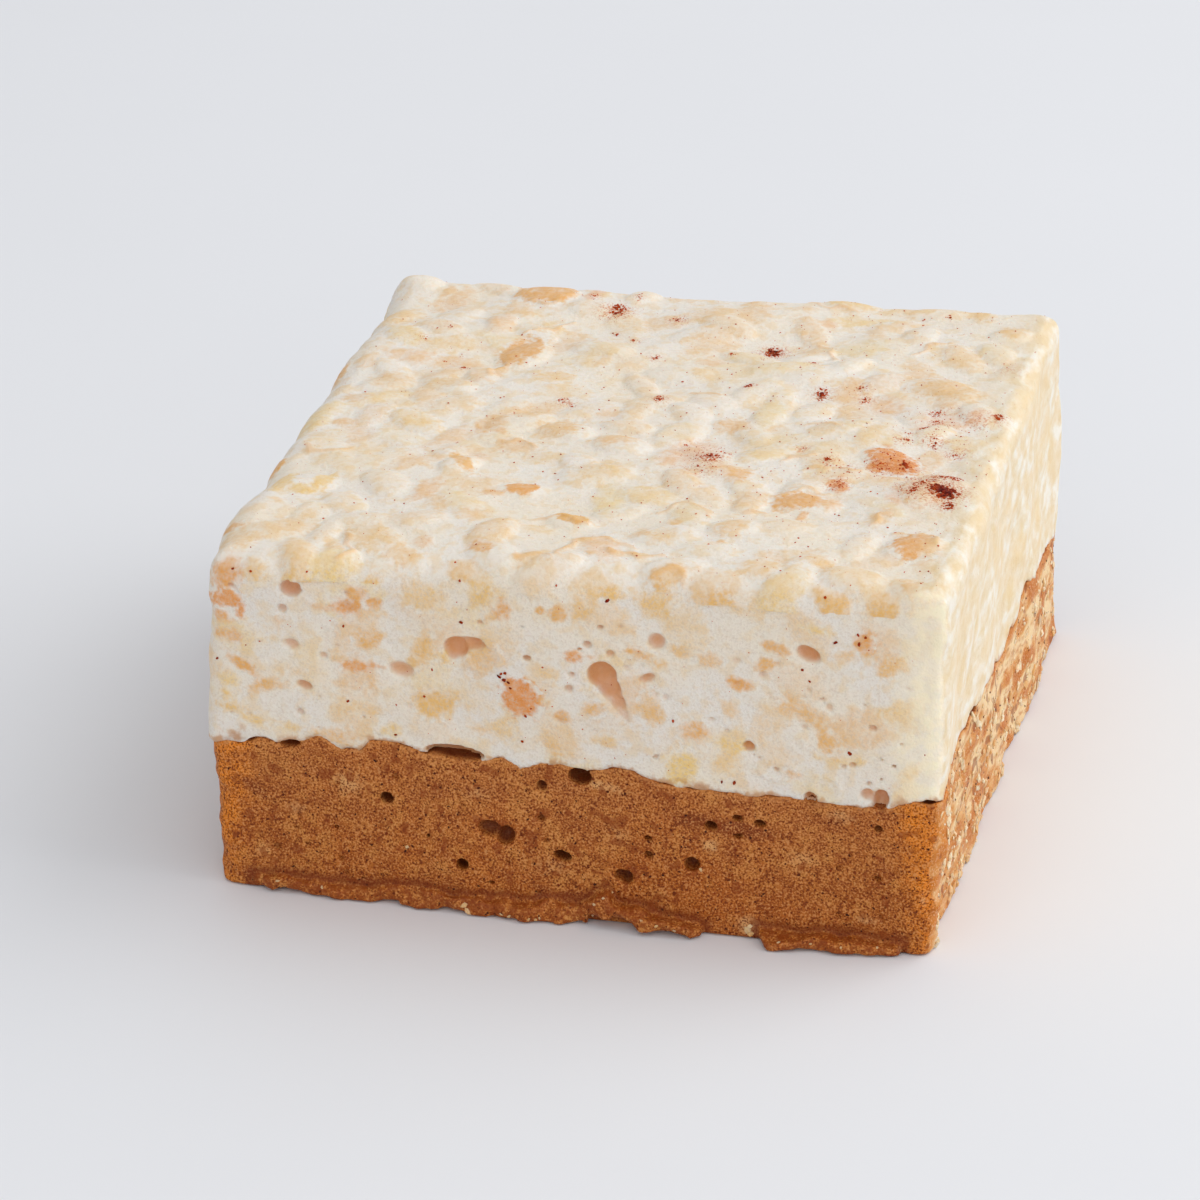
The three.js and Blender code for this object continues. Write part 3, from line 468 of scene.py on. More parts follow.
def scatter_puffs(face, start, end, clearest):
    """A staggered lattice of puffs on one face, shaken and turned by the face's own seeded draws."""
    draw = draws(FACES[face][3])
    look_draw = draws(FACES[face][3] + 7000)
    found = []
    for row in range(round((end - start) / PUFF_PITCH[1])):
        for column in range(round(SIDE / PUFF_PITCH[0])):
            s = -HALF + PUFF_PITCH[0] * (column + 0.5 * (row % 2) + draw(0.2, 0.8))
            v = start + PUFF_PITCH[1] * (row + draw(0.2, 0.8))
            length = draw(*PUFF_LENGTH)
            width = draw(*PUFF_WIDTH)
            heading = draw(0, math.pi)
            proud = PUFF_PROUD[face] * draw(-0.2, 1)
            shows = clearest * look_draw(0, 1)
            tone = look_draw(0, 0.6)
            crowded = face == "top" and any(math.hypot(s - p[0], v - p[1]) < PUFF_ROOM for p in TOP_PUFFS)
            if proud > 0 and not crowded and abs(s) < HALF - CORNER_ROOM:
                found.append(make_puff(face, s, v, length, width, heading, proud, shows, tone))
    return found


def shown_rice(face, rows, proud):
    return [make_puff(face, s, v, length, width, math.radians(heading), proud * shows, shows, tone)
            for s, v, length, width, heading, shows, tone in rows]


WALL_FOOT = 1.5
WALL_CROWN = 34
puffs = [make_puff("top", *row[:4], math.radians(row[4]), row[5]) for row in TOP_PUFFS]
puffs += scatter_puffs("top", -HALF, HALF, 0.55)
for face in ("front", "right", "back", "left"):
    puffs += scatter_puffs(face, WALL_FOOT, WALL_CROWN, 0.3 if face == "front" else 0.7)
puffs += shown_rice("top", TOP_RICE, 0.4)
puffs += shown_rice("front", FRONT_RICE, 0.16)


# Folds of the marshmallow film on the top, each a line of (x, y) places.
FOLDS = (
    ((-1.8, -32.9), (-1.3, -30.9), (-.4, -28.8), (1.5, -28.1), (4, -29.2), (4.9, -30.1)),
    ((2.4, -30.9), (4.7, -31.3), (6.1, -31.5), (7.8, -31.2)), ((-6, -34), (-4.7, -33), (-2.6, -33.4)),
    ((5.6, -21.6), (6.5, -19.6), (8.7, -19.3), (11, -22.5)), ((7.7, -34.8), (9.1, -33.3), (11, -34.9)),
    ((-14, -6.7), (-12.3, -6), (-10.5, -7.5)), ((13.3, -20.8), (14.4, -19.5), (15.6, -20.2)),
    ((15.5, 1), (17, 2), (19.2, .2)), ((17.5, -9.3), (19.8, -8.8), (23.1, -8.9)),
    ((14.5, -7.3), (16.9, -5.9), (17.9, -5.9)), ((22.9, 21.4), (24.5, 24.4), (25.8, 25.1)),
    ((26.1, -21.3), (26.9, -19), (27.8, -18.5)), ((12.3, 23), (14.2, 21.6), (14.6, 19)),
    ((2, 8), (3.8, 8.3), (5.6, 7.4)), ((-23.5, -30), (-21.8, -33.6), (-22.4, -35.6)),
    ((-28.6, -10.8), (-30.8, -12.3), (-33.3, -11)), ((-19.6, 8.8), (-19.4, 11), (-18.4, 13.6)),
    ((-14.6, 25), (-16, 22.6), (-18.2, 21)), ((-6.4, -24.6), (-4.2, -22.9), (-.6, -25.4)),
    ((20.4, -14.4), (17.8, -14), (15.8, -16)), ((28.8, -23), (31.8, -22.9), (33.8, -25.6)),
    ((-20.2, 29.2), (-17.6, 29), (-15.6, 31.4)), ((8.4, 36), (11, 33.2), (14.2, 33)),
)
FOLD_HALF = 0.5
FOLD_HEIGHT = 0.2


def fold_plan(axes):
    """1 along the folds, falling to 0 beside them, over the plan of a grid."""
    x, y, _ = spread(axes)
    x = x + 0.35 * np.sin(1.9 * y)
    y = y + 0.3 * np.sin(2.3 * x)
    plan = np.zeros((x + y).shape, np.float32)
    for line in FOLDS:
        for start, end in zip(line, line[1:]):
            run = np.subtract(end, start)
            share = np.clip(((x - start[0]) * run[0] + (y - start[1]) * run[1]) / (run @ run), 0, 1)
            distance = np.hypot(x - start[0] - share * run[0], y - start[1] - share * run[1])
            plan = np.maximum(plan, np.maximum(0, 1 - (distance / FOLD_HALF) ** 2) ** 2)
    return plan


def window(axes, centre, reach):
    """The part of a grid within reach of a centre: its slices, and offsets from the centre."""
    slices = []
    for axis, middle in zip(axes, centre):
        first = np.searchsorted(axis, middle - reach)
        last = np.searchsorted(axis, middle + reach)
        slices.append(slice(int(first), int(last)))
    near_axes = [axis[cut] - middle for axis, cut, middle in zip(axes, slices, centre)]
    return tuple(slices), spread(near_axes)


def nearness(puff, offset):
    """1 over the middle of a puff, 0 at its outline, negative beyond it or round the corner."""
    def share(direction, size):
        return sum(o * d for o, d in zip(offset, direction) if d) / size
    near = 1 - share(puff["lengthwise"], puff["half"][0]) ** 2
    near = near - share(puff["crosswise"], puff["half"][1]) ** 2
    return np.where(np.abs(share(puff["out"], 1)) < PUFF_DEPTH, near, -9)


def puff_rise(axes, warp):
    """How far the puffs push the skin out, over the grid: the tallest puff counts."""
    rise = np.zeros([len(axis) for axis in axes], np.float32)
    for puff in puffs:
        slices, offset = window(axes, puff["centre"], max(puff["half"]) + 1)
        if rise[slices].size:
            moved = [o + w[slices] for o, w in zip(offset, warp)]
            near = np.maximum(nearness(puff, moved), 0)
            rise[slices] = np.maximum(rise[slices], puff["proud"] * near * (1.5 - 0.5 * near))
    return rise


def carve_eggs(field, axes, face, eggs, lip):
    """Lets egg-shaped hollows into one wall, with a soft lip round each."""
    out, along = FACES[face][:2]
    for s, v, width, tall, depth, lean in eggs:
        slices, (dx, dy, dz) = window(axes, face_point(face, s, v), max(width, tall, depth) / 2 + depth + 1)
        if not field[slices].size:
            continue
        run = dx * along[0] + dy * along[1]
        cosine = math.cos(math.radians(lean))
        sine = math.sin(math.radians(lean))
        across = (run * cosine + dz * sine) / (width / 2)
        up = (dz * cosine - run * sine) / (tall / 2)
        deep = (dx * out[0] + dy * out[1]) / depth
        size = np.sqrt(across**2 + up**2 + deep**2)
        slope = np.sqrt((across / (width / 2))**2 + (up / (tall / 2))**2 + (deep / depth)**2)
        egg = size * (size - 1) / np.maximum(slope, 1e-6)
        field[slices] = round_meeting(field[slices], -egg, lip)


def scatter_bubbles(face, low, high, number, smallest, largest):
    """Seeded open bubbles over one wall: mostly small ones, wider than they are tall."""
    draw = draws(FACES[face][3] + round(low))
    found = []
    for _ in range(number):
        width = smallest + (largest - smallest) * draw(0, 1) ** 3
        tall = width * draw(0.5, 0.95)
        found.append((draw(-34, 34), draw(low, high), width, tall, 0.65 * width, draw(-25, 25)))
    return found


def raise_rings(field, axes):
    for x, z, half_width, half_height in FRONT_RINGS:
        slices, (dx, dy, dz) = window(axes, face_point("front", x, z), half_width + 2)
        gap = (np.hypot(dx / half_width, dz / half_height) - 1) * (half_width + half_height) / 2
        field[slices] -= RING_HEIGHT * np.exp(-(gap / RING_THICKNESS) ** 2 - (dy / 2) ** 4)


CELL_CORNERS = np.array(list(itertools.product((0, 1), repeat=3)))
CELL_EDGES = [(a, b) for a, b in itertools.combinations(range(8), 2)
              if np.abs(CELL_CORNERS[a] - CELL_CORNERS[b]).sum() == 1]


def net_surface(field, axes):
    """The closed surface where the field is zero: a point in each cell it crosses, joined in quads."""
    inside = field < 0
    cells = [size - 1 for size in field.shape]
    count = np.zeros(cells, np.uint8)
    for corner in CELL_CORNERS:
        count += inside[tuple(slice(c, c + n) for c, n in zip(corner, cells))]
    crossed = np.argwhere((count > 0) & (count < 8))
    number = np.full(cells, -1, np.int32)
    number[tuple(crossed.T)] = np.arange(len(crossed))
    value = [field[tuple((crossed + corner).T)] for corner in CELL_CORNERS]
    total = np.zeros((len(crossed), 3))
    hits = np.zeros(len(crossed))
    for a, b in CELL_EDGES:
        cuts = (value[a] < 0) != (value[b] < 0)
        share = value[a][cuts] / (value[a][cuts] - value[b][cuts])
        total[cuts] += CELL_CORNERS[a] + share[:, None] * (CELL_CORNERS[b] - CELL_CORNERS[a])
        hits[cuts] += 1
    low = np.array([axis[0] for axis in axes])
    points = low + STEP * (crossed + total / hits[:, None])
    quads = []
    for axis in range(3):
        u = np.eye(3, dtype=int)[(axis + 1) % 3]
        v = np.eye(3, dtype=int)[(axis + 2) % 3]
        ahead = np.eye(3, dtype=int)[axis]
        start = tuple(slice(1 - a, None if a == 0 else -1) for a in ahead)
        end = tuple(slice(1, None) for _ in ahead)
        edges = np.argwhere(inside[start] != inside[end]) + (1 - ahead)
        inner = np.all((edges - u - v >= 0) & (edges < np.array(cells)), axis=1)
        edges = edges[inner]
        ring = [edges - u - v, edges - v, edges, edges - u]
        quad = np.stack([number[tuple(place.T)] for place in ring], axis=1)
        outward = inside[tuple(edges.T)]
        quads.append(np.where(outward[:, None], quad, quad[:, ::-1]))
    return points, np.concatenate(quads)


def main_piece(points, quads):
    """Drops the loose specks that carving leaves, and keeps the one large body."""
    label = np.arange(len(points))
    ends = np.concatenate([quads[:, [0, 1]], quads[:, [1, 2]], quads[:, [2, 3]]])
    while True:
        least = np.minimum(label[ends[:, 0]], label[ends[:, 1]])
        before = label.copy()
        np.minimum.at(label, ends[:, 0], least)
        np.minimum.at(label, ends[:, 1], least)
        label = label[label]
        if np.array_equal(label, before):
            break
    largest = np.bincount(label).argmax()
    kept = label == largest
    fresh = np.cumsum(kept) - 1
    return points[kept], fresh[quads[kept[quads[:, 0]]]]


def fit_in(points, box):
    """Trims what noise and swelling push past a CAD node's box, by hundredths of a millimetre."""
    return np.clip(points, box[0], box[1])


def as_object(name, points, faces):
    mesh = bpy.data.meshes.new(name)
    mesh.from_pydata(points * MM, [], faces)
    mesh.update()
    piece = bpy.data.objects.new(name, mesh)
    bpy.context.scene.collection.objects.link(piece)
    return piece


def thin_out(piece, most):
    """Collapses flat stretches until the piece has at most so many triangles."""
    triangles = sum(len(face.vertices) - 2 for face in piece.data.polygons)
    if triangles > most:
        collapse = piece.modifiers.new("thin_out", "DECIMATE")
        collapse.ratio = most / triangles
        view = bpy.context.evaluated_depsgraph_get()
        thinned = bpy.data.meshes.new_from_object(piece.evaluated_get(view))
        piece.modifiers.clear()
        piece.data = thinned
        thinned.name = piece.name
    piece.data.shade_smooth()


def read_points(mesh, what="position"):
    if what == "position":
        flat = np.empty(len(mesh.vertices) * 3, np.float32)
        mesh.vertices.foreach_get("co", flat)
        return flat.reshape(-1, 3) / MM
    flat = np.empty(len(mesh.vertices) * 3, np.float32)
    mesh.vertex_normals.foreach_get("vector", flat)
    return flat.reshape(-1, 3)


def read_field(field, axes, points):
    """Reads a grid between its points, in straight lines along each axis."""
    place = [np.clip((points[:, k] - axes[k][0]) / STEP, 0, len(axes[k]) - 1.001) for k in range(3)]
    whole = [p.astype(int) for p in place]
    part = [p - w for p, w in zip(place, whole)]
    total = 0
    for corner in CELL_CORNERS:
        weight = 1
        for k in range(3):
            weight = weight * (part[k] if corner[k] else 1 - part[k])
        total = total + weight * field[tuple(w + c for w, c in zip(whole, corner))]
    return total


def keep_value(mesh, name, values):
    attribute = mesh.attributes.new(name, "FLOAT", "POINT")
    attribute.data.foreach_set("value", np.asarray(values, np.float32))


def rice_values(points, warp_at, chosen):
    """For each point, the puff that shows most there: nearness to it, how clearly it shows, its tone."""
    best = np.full(len(points), -1.0)
    edge = np.full(len(points), -1.0)
    shows = np.zeros(len(points))
    tone = np.full(len(points), 0.4)
    for puff in chosen:
        reach = max(puff["half"]) * 1.4 + 1
        offset = points - np.array(puff["centre"])
        close = np.flatnonzero((np.abs(offset) < reach).all(axis=1))
        moved = offset[close] + warp_at[close]
        near = nearness(puff, moved.T)
        strength = puff["shows"] * np.clip((near + 0.35) / 0.7, 0, 1)
        better = strength > np.maximum(best[close], 0)
        winner = close[better]
        best[winner] = strength[better]
        edge[winner] = near[better]
        shows[winner] = puff["shows"]
        tone[winner] = puff["tone"]
    return edge, shows, tone


SKIN_DIMPLE = 0.05                      # depths of the skin's own unevenness
TOP_DIMPLE = 0.04
SKIN_GRAIN = 0.04
CUT_DRAG = 0.07                         # and of the marks on the knife cut
CUT_LUMPS = 0.12
CUT_THREADS = 0.05
CUT_SINK = 0.1
EDGE_KNOBS = 0.2                        # and along the upright edges
EDGE_THREADS = 0.08

white_low, white_high = [np.array(corner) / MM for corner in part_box("white_marshmallow_layer")]
white_axes = grid_axes(white_low - 1.5, white_high + 1.5)
x, y, z = spread(white_axes)
wobble = [PUFF_WARP * soft_noise(white_axes, (2.6,) * 3, seed) for seed in (21, 22, 23)]
cut_side = ease(33, 35.2, x)
join = torn_join(white_axes)
wall = wall_distance(x, y, z)
left_side = ease(30, 35, -x)
wall -= LEFT_OVERHANG * left_side * (1 - ease(0, OVERHANG_HEIGHT, z - join))
crown = z - over_corners(x, y, TOP_AT)
topness = ease(-4, -0.5, crown)
crumbling = soft_noise((*white_axes[:2], np.zeros(1, np.float32)), (5, 5, 9), 40)
rim = rim_radius(x, y) + cut_side * np.maximum(0.9 + 0.8 * crumbling, -0.4)
skin = round_meeting(wall, crown, rim).astype(np.float32)
skin -= (SWELL_WALL + (SWELL_TOP - SWELL_WALL) * topness) * swell_grid(white_axes)
skin -= puff_rise(white_axes, wobble)
skin -= (SKIN_DIMPLE + TOP_DIMPLE * topness) * soft_noise(white_axes, (1.5,) * 3, 31)
skin -= SKIN_GRAIN * soft_noise(white_axes, (0.8,) * 3, 32)
folds = np.broadcast_to(fold_plan(white_axes), skin.shape)
skin -= FOLD_HEIGHT * topness * folds
drag = soft_noise(white_axes, (1.2, 2.6, 2), 33)
lumps = soft_noise(white_axes, (2.2, 4, 2.4), 38)
threads = soft_noise(white_axes, (0.7, 1.8, 1), 39)
cut_part = cut_side * (1 - 0.8 * topness)   # the knife's drag dies away over the top rim
skin -= cut_part * (CUT_DRAG * drag + CUT_LUMPS * np.abs(lumps) + CUT_THREADS * threads - CUT_SINK)
upright = (1 - ease(1, 4.5, np.hypot(HALF - np.abs(x), HALF + y))) * (1 - topness)
skin -= upright * (EDGE_KNOBS * soft_noise(white_axes, (1.3,) * 3, 35) + EDGE_THREADS * threads)
raise_rings(skin, white_axes)
body = round_meeting(skin, join - z, JOIN_ROUND)
carve_eggs(body, white_axes, "front", FRONT_BUBBLES + JOIN_CLEFTS, 0.12)
carve_eggs(body, white_axes, "front", scatter_bubbles("front", 17, 33, 90, 0.4, 0.75), 0.1)
for hidden in ("left", "back"):
    carve_eggs(body, white_axes, hidden, scatter_bubbles(hidden, 17, 33, 55, 0.4, 2.0), 0.12)

points, faces = main_piece(*net_surface(body, white_axes))
white_rice = as_object("white_puffed_rice", fit_in(points, (white_low, white_high)), faces)
thin_out(white_rice, MOST_TRIANGLES)
points = read_points(white_rice.data)
facing = read_points(white_rice.data, "normal")
warp_at = np.stack([read_field(w, white_axes, points) for w in wobble], axis=1)
edge, shows, tone = rice_values(points, warp_at, puffs)
keep_value(white_rice.data, "rice_edge", edge)
keep_value(white_rice.data, "rice_shows", shows)
keep_value(white_rice.data, "rice_tone", tone)
# depth below the skin, which the finish uses to paint shade into bubbles and clefts
keep_value(white_rice.data, "sunk", np.clip(-read_field(skin, white_axes, points), 0, 3))
keep_value(white_rice.data, "fold", read_field(folds, white_axes, points) * ease(0.2, 0.6, facing[:, 2]))
keep_value(white_rice.data, "on_wall", 1 - ease(0.35, 0.8, facing[:, 2]))
blend = read_field(lumps, white_axes, points) + read_field(drag, white_axes, points)
front_facing = ease(0.35, 0.8, -facing[:, 1])
keep_value(white_rice.data, "on_cut", ease(30.8, 35.2, points[:, 0] + 0.8 * blend) * (1 - front_facing))
keep_value(white_rice.data, "lit_edge", ease(29.5, 35, points[:, 0] + 0.9 * blend) * front_facing)
above_join = points[:, 2] - read_field(np.broadcast_to(join, skin.shape), white_axes, points)
keep_value(white_rice.data, "seam", 1 - ease(0.1, 1.1, above_join))

# Where the red-brown powder fell: (x, y, reach, strength). It stains the skin round it.
TOP_STAINS = (
    (31.9, -13.9, 2.6, 1), (32.8, -16.6, 1.2, .9), (30.8, -9.8, 2.6, .7), (29, -13.8, 1.6, .8),
    (26.8, -6.8, 1.5, .9), (24.6, -7.3, 1.3, .8), (8, 21.2, 1.9, .9), (-10.5, 28.6, 2, .9),
    (-5.8, 36, 1.8, .9), (15.3, 10, 1.3, .8), (7.9, -8.4, 1.6, .9), (6.5, -6.5, 4, .35),
    (7.5, -11.5, 2.6, .35), (-.5, 5.4, 1.2, .7), (7.6, 10.3, 1, .6), (33.9, 6.4, 1.1, .9),
    (32.4, 5, 2.2, .5), (27.6, 6.8, 1.6, .55), (28, 4.2, 1.1, .6), (27.2, 1.8, .9, .6),
    (28.8, -1, 1.6, .6), (25.6, -1.3, 1.2, .6), (31.3, -3, 1.6, .5), (19.2, -7, 1.2, .7),
    (20.8, -8, 1.8, .4), (21.3, -12.6, 1.3, .8), (19.7, 9.8, 1.2, .6), (19.2, 11.9, 1.1, .5),
    (13.2, 16.4, 1.1, .5), (4.1, 19, .8, .6), (-10, 3.7, 1.3, .6), (-28.8, 17.9, 1, .45),
    (-26.5, 20.8, .7, .5), (-22.6, 11.4, .8, .5), (-3.4, 27.3, 1.4, .6), (-3.5, 16.5, 1, .5),
    (-8.8, 32.3, 1, .5), (-9.2, 23.2, .6, .5), (-6.8, 21.3, 1.2, .5), (-15.3, 36.4, 1, .5),
    (16.1, -4.4, .9, .6), (29.5, -11.5, 3.4, .45), (26, .2, 1.6, .4), (33.2, 19, 1.8, .35),
    (-13.6, 31.6, 1.2, .4),
)


def stain_values(points, stains):
    total = np.zeros(len(points))
    for x, y, reach, strength in stains:
        distance = np.hypot(points[:, 0] - x, points[:, 1] - y)
        total = np.maximum(total, strength * np.exp(-(distance / reach) ** 2))
    return total


keep_value(white_rice.data, "stain", stain_values(points, TOP_STAINS) * ease(0.1, 0.6, facing[:, 2]))


def linear(*srgb):
    """A colour read off as 0 to 255 per channel, as the renderer takes it."""
    values = [channel / 255 for channel in srgb]
    return [v / 12.92 if v <= 0.04045 else ((v + 0.055) / 1.055) ** 2.4 for v in values] + [1.0]


class Finish:
    """A procedural material, with short names for the kinds of node that these finishes need."""

    def __init__(self, name):
        self.material = bpy.data.materials.new(name)
        self.material.use_nodes = True
        self.tree = self.material.node_tree
        self.shader = self.tree.nodes["Principled BSDF"]
        self.place = self.node("ShaderNodeTexCoord").outputs["Object"]

    def node(self, kind, **settings):
        made = self.tree.nodes.new(kind)
        for name, value in settings.items():
            setattr(made, name, value)
        return made

    def feed(self, socket, value):
        if isinstance(value, bpy.types.NodeSocket):
            self.tree.links.new(value, socket)
        else:
            socket.default_value = value

    def value(self, name):
        return self.node("ShaderNodeAttribute", attribute_name=name).outputs["Fac"]

    def math(self, operation, *values):
        made = self.node("ShaderNodeMath", operation=operation)
        for socket, value in zip(made.inputs, values):
            self.feed(socket, value)
        return made.outputs[0]

    def noise(self, size, detail=2.0, stretch=(1, 1, 1), distortion=0.0):
        """Noise about 0 to 1 whose lumps are size millimetres across."""
        made = self.node("ShaderNodeTexNoise")
        made.inputs["Scale"].default_value = 1 / (size * MM)
        made.inputs["Detail"].default_value = detail
        made.inputs["Distortion"].default_value = distortion
        place = self.place
        if stretch != (1, 1, 1):
            mapping = self.node("ShaderNodeMapping")
            mapping.inputs["Scale"].default_value = stretch
            self.feed(mapping.inputs["Vector"], place)
            place = mapping.outputs[0]
        self.feed(made.inputs["Vector"], place)
        return made.outputs["Fac"]

    def ramp(self, value, low, high, low_value=0.0, high_value=1.0):
        made = self.node("ShaderNodeMapRange", interpolation_type="SMOOTHSTEP")
        for name, given in (("Value", value), ("From Min", low), ("From Max", high),
                            ("To Min", low_value), ("To Max", high_value)):
            self.feed(made.inputs[name], given)
        return made.outputs[0]

    def mix(self, share, a, b):
        made = self.node("ShaderNodeMix", data_type="RGBA")
        self.feed(made.inputs[0], share)
        self.feed(made.inputs[6], a)
        self.feed(made.inputs[7], b)
        return made.outputs[2]

    def colours(self, value, stops):
        made = self.node("ShaderNodeValToRGB")
        ramp = made.color_ramp
        for index, (place, colour) in enumerate(stops):
            stop = ramp.elements[index] if index < 2 else ramp.elements.new(place)
            stop.position = place
            stop.color = colour
        self.feed(made.inputs[0], value)
        return made.outputs[0]

    def bump(self, *layers):
        """Fine relief: each layer is (height source, depth in millimetres)."""
        height = 0.0
        for source, depth in layers:
            height = self.math("MULTIPLY_ADD", source, depth, height)
        made = self.node("ShaderNodeBump")
        made.inputs["Distance"].default_value = MM
        self.feed(made.inputs["Height"], height)
        self.feed(self.shader.inputs["Normal"], made.outputs[0])


white = Finish("white_marshmallow")
grain = white.noise(0.22, 2)
fine = white.noise(0.5, 3)
patchy = white.noise(1.5, 3)
slow = white.noise(9, 1)
shows = white.value("rice_shows")
on_wall = white.value("on_wall")
outline = white.math("ADD", white.value("rice_edge"), white.ramp(patchy, 0.3, 0.7, -0.28, 0.28))
outline = white.math("ADD", outline, white.ramp(fine, 0.3, 0.7, -0.14, 0.14))
softness = white.ramp(shows, 0.45, 0.9, 0.7, 0.3)
in_rice = white.ramp(outline, white.math("SUBTRACT", 0.36, softness), white.math("ADD", 0.36, softness))
speckle = white.ramp(fine, 0.3, 0.7, 0.82, 1.12)
strength = white.math("MINIMUM", white.math("MULTIPLY", shows, white.ramp(on_wall, 0, 1, 1.0, 1.6)), 0.88)
amount = white.math("MULTIPLY", white.math("MULTIPLY", in_rice, strength), speckle)
film = white.mix(on_wall, linear(237, 229, 217), linear(233, 225, 214))
film = white.mix(white.ramp(slow, 0.35, 0.7, 0, 0.45), film, linear(240, 224, 196))
film = white.mix(white.ramp(fine, 0.48, 0.68, 0, 0.3), film, linear(224, 206, 182))
film = white.mix(white.ramp(patchy, 0.48, 0.66, 0, 0.45), film, linear(232, 204, 160))
rice_colour = white.colours(white.value("rice_tone"), (
    (0.0, linear(236, 204, 126)), (0.5, linear(230, 176, 98)), (1.0, linear(226, 142, 60))))
rice_colour = white.mix(white.ramp(grain, 0.5, 0.75, 0, 0.2), rice_colour, linear(204, 132, 66))
surface = white.mix(amount, film, rice_colour)
surface = white.mix(white.ramp(white.value("fold"), 0.1, 0.8, 0, 0.45), surface, linear(230, 176, 106))
streaks = white.noise(1.1, 3, stretch=(1, 0.45, 0.8))
clumps = white.noise(3.2, 2, stretch=(1, 0.4, 0.8))
cut_colour = white.colours(streaks, (
    (0.36, linear(224, 200, 156)), (0.5, linear(231, 215, 186)), (0.64, linear(237, 231, 217))))
cut_colour = white.mix(white.ramp(clumps, 0.45, 0.62, 0, 0.65), cut_colour, linear(229, 202, 154))
surface = white.mix(white.math("MULTIPLY", white.value("on_cut"), 0.9), surface, cut_colour)
lit = white.math("MULTIPLY", white.value("lit_edge"), white.ramp(patchy, 0.36, 0.6, 0.4, 0.95))
surface = white.mix(lit, surface, linear(252, 238, 208))
grit = white.math("SUBTRACT", on_wall, white.math("MAXIMUM", white.value("lit_edge"), white.value("on_cut")))
grit = white.math("MULTIPLY", white.ramp(grain, 0.5, 0.66, 0, 0.4), grit)
surface = white.mix(grit, surface, linear(212, 196, 178))
# painted shade: the deeper a point lies below the skin, in bubbles and clefts, the more it turns warm tan,
# standing in for shade and light bounced inside them
hollow = white.ramp(white.value("sunk"), 0.06, 1.0, 0, 0.8)
surface = white.mix(hollow, surface, linear(220, 148, 84))
seam = white.math("ADD", white.value("seam"), white.ramp(patchy, 0.3, 0.7, -0.9, 0.3))
seam = white.math("MULTIPLY", white.ramp(seam, 0.2, 1.1, 0, 0.7), on_wall)
surface = white.mix(seam, surface, linear(192, 128, 74))
halo = white.math("ADD", white.value("stain"), white.ramp(grain, 0.35, 0.65, -0.45, 0.4))
surface = white.mix(white.ramp(halo, 0.35, 1.0, 0, 0.7), surface, linear(204, 112, 48))
white.feed(white.shader.inputs["Base Color"], surface)
white.feed(white.shader.inputs["Roughness"], white.ramp(patchy, 0.3, 0.7, 0.36, 0.55))
white.shader.inputs["Subsurface Weight"].default_value = 0.35
white.shader.inputs["Subsurface Radius"].default_value = (1.0, 0.8, 0.62)
white.shader.inputs["Subsurface Scale"].default_value = 0.0016
gritty = white.math("MULTIPLY", grain, white.ramp(on_wall, 0, 1, 0.6, 1.4))
white.bump((gritty, 0.06), (fine, 0.1), (patchy, 0.1))
white_rice.data.materials.append(white.material)
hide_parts("white_marshmallow_layer")
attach(white_rice, "root")

# ------------------------------------------------------------------ brown marshmallow layer
# The lower layer: puffed rice in cinnamon-brown marshmallow, full of fine specks of spice and with
# round bubbles open at the front. A thin ragged crust was squeezed out under its foot.

FOOT_ROUND = 0.15
SHOULDER_ROUND = 0.15
BROWN_RELIEF = 0.6
LAYER_LAP = 0.1                         # how far the layers reach into each other at the join

# Open bubbles of the brown front: (x, height, width, tallness, depth, lean in degrees).
BROWN_BUBBLES = (
    (-18.1, 11.1, 1.4, 1.2, 1.6, -20), (-2.7, 13.8, 1.2, 1.2, 1.4, 0), (-10.5, 4.9, 1.3, 1.2, 1.6, -35),
    (-7.8, 8.9, 2.4, 1.7, 1.1, -10), (-6.2, 8.3, 1.8, 2.1, 1.4, -30), (-.5, 6.7, 1.9, 1.1, 1.8, -12),
    (5.3, 5.3, 1.3, 1.1, 1.2, 20), (5.9, 5.1, 1.3, 1.5, 1.5, 0), (12.4, 7.3, 1.5, 1.5, 1.2, 0),
    (14.2, 11.6, 1.3, 1, 1.3, 0), (16.7, 12.6, 1.1, .7, .9, 0), (18.9, 12.2, 1.2, .8, 1.4, -10),
    (16.8, 10.7, .9, .6, .9, 0), (-2.7, 10.4, .9, .8, 1, 0), (-2.1, 8.1, .7, .5, .7, 0),
    (8, 9.6, .8, .6, .8, 0), (8.1, 7.8, .9, .8, .9, 0), (-29.6, 4.5, .8, .7, .8, 0),
    (-27.5, 6.7, .7, .6, .6, 0), (-23.3, 7.4, .6, .5, .6, 0), (-13.9, 7.6, .6, .5, .6, 0),
    (26.7, 8.2, .9, .6, .9, 0), (30.5, 7.6, .9, .6, .8, 0), (30.4, 12.9, .9, .8, .9, 0),
    (27, 4.9, .8, .5, .5, 0), (26.8, 3, .9, .5, .6, 0), (-27.2, 8.2, .7, .5, .5, 0),
    (-17.2, 13.5, .8, .6, .5, 0), (-10.6, 11, .6, .5, .5, 0), (-7.6, 3.2, .7, .4, .6, 0),
    (-2.4, .8, 1, .6, .7, 0), (31, 3.6, 1, .4, .5, -50),
)
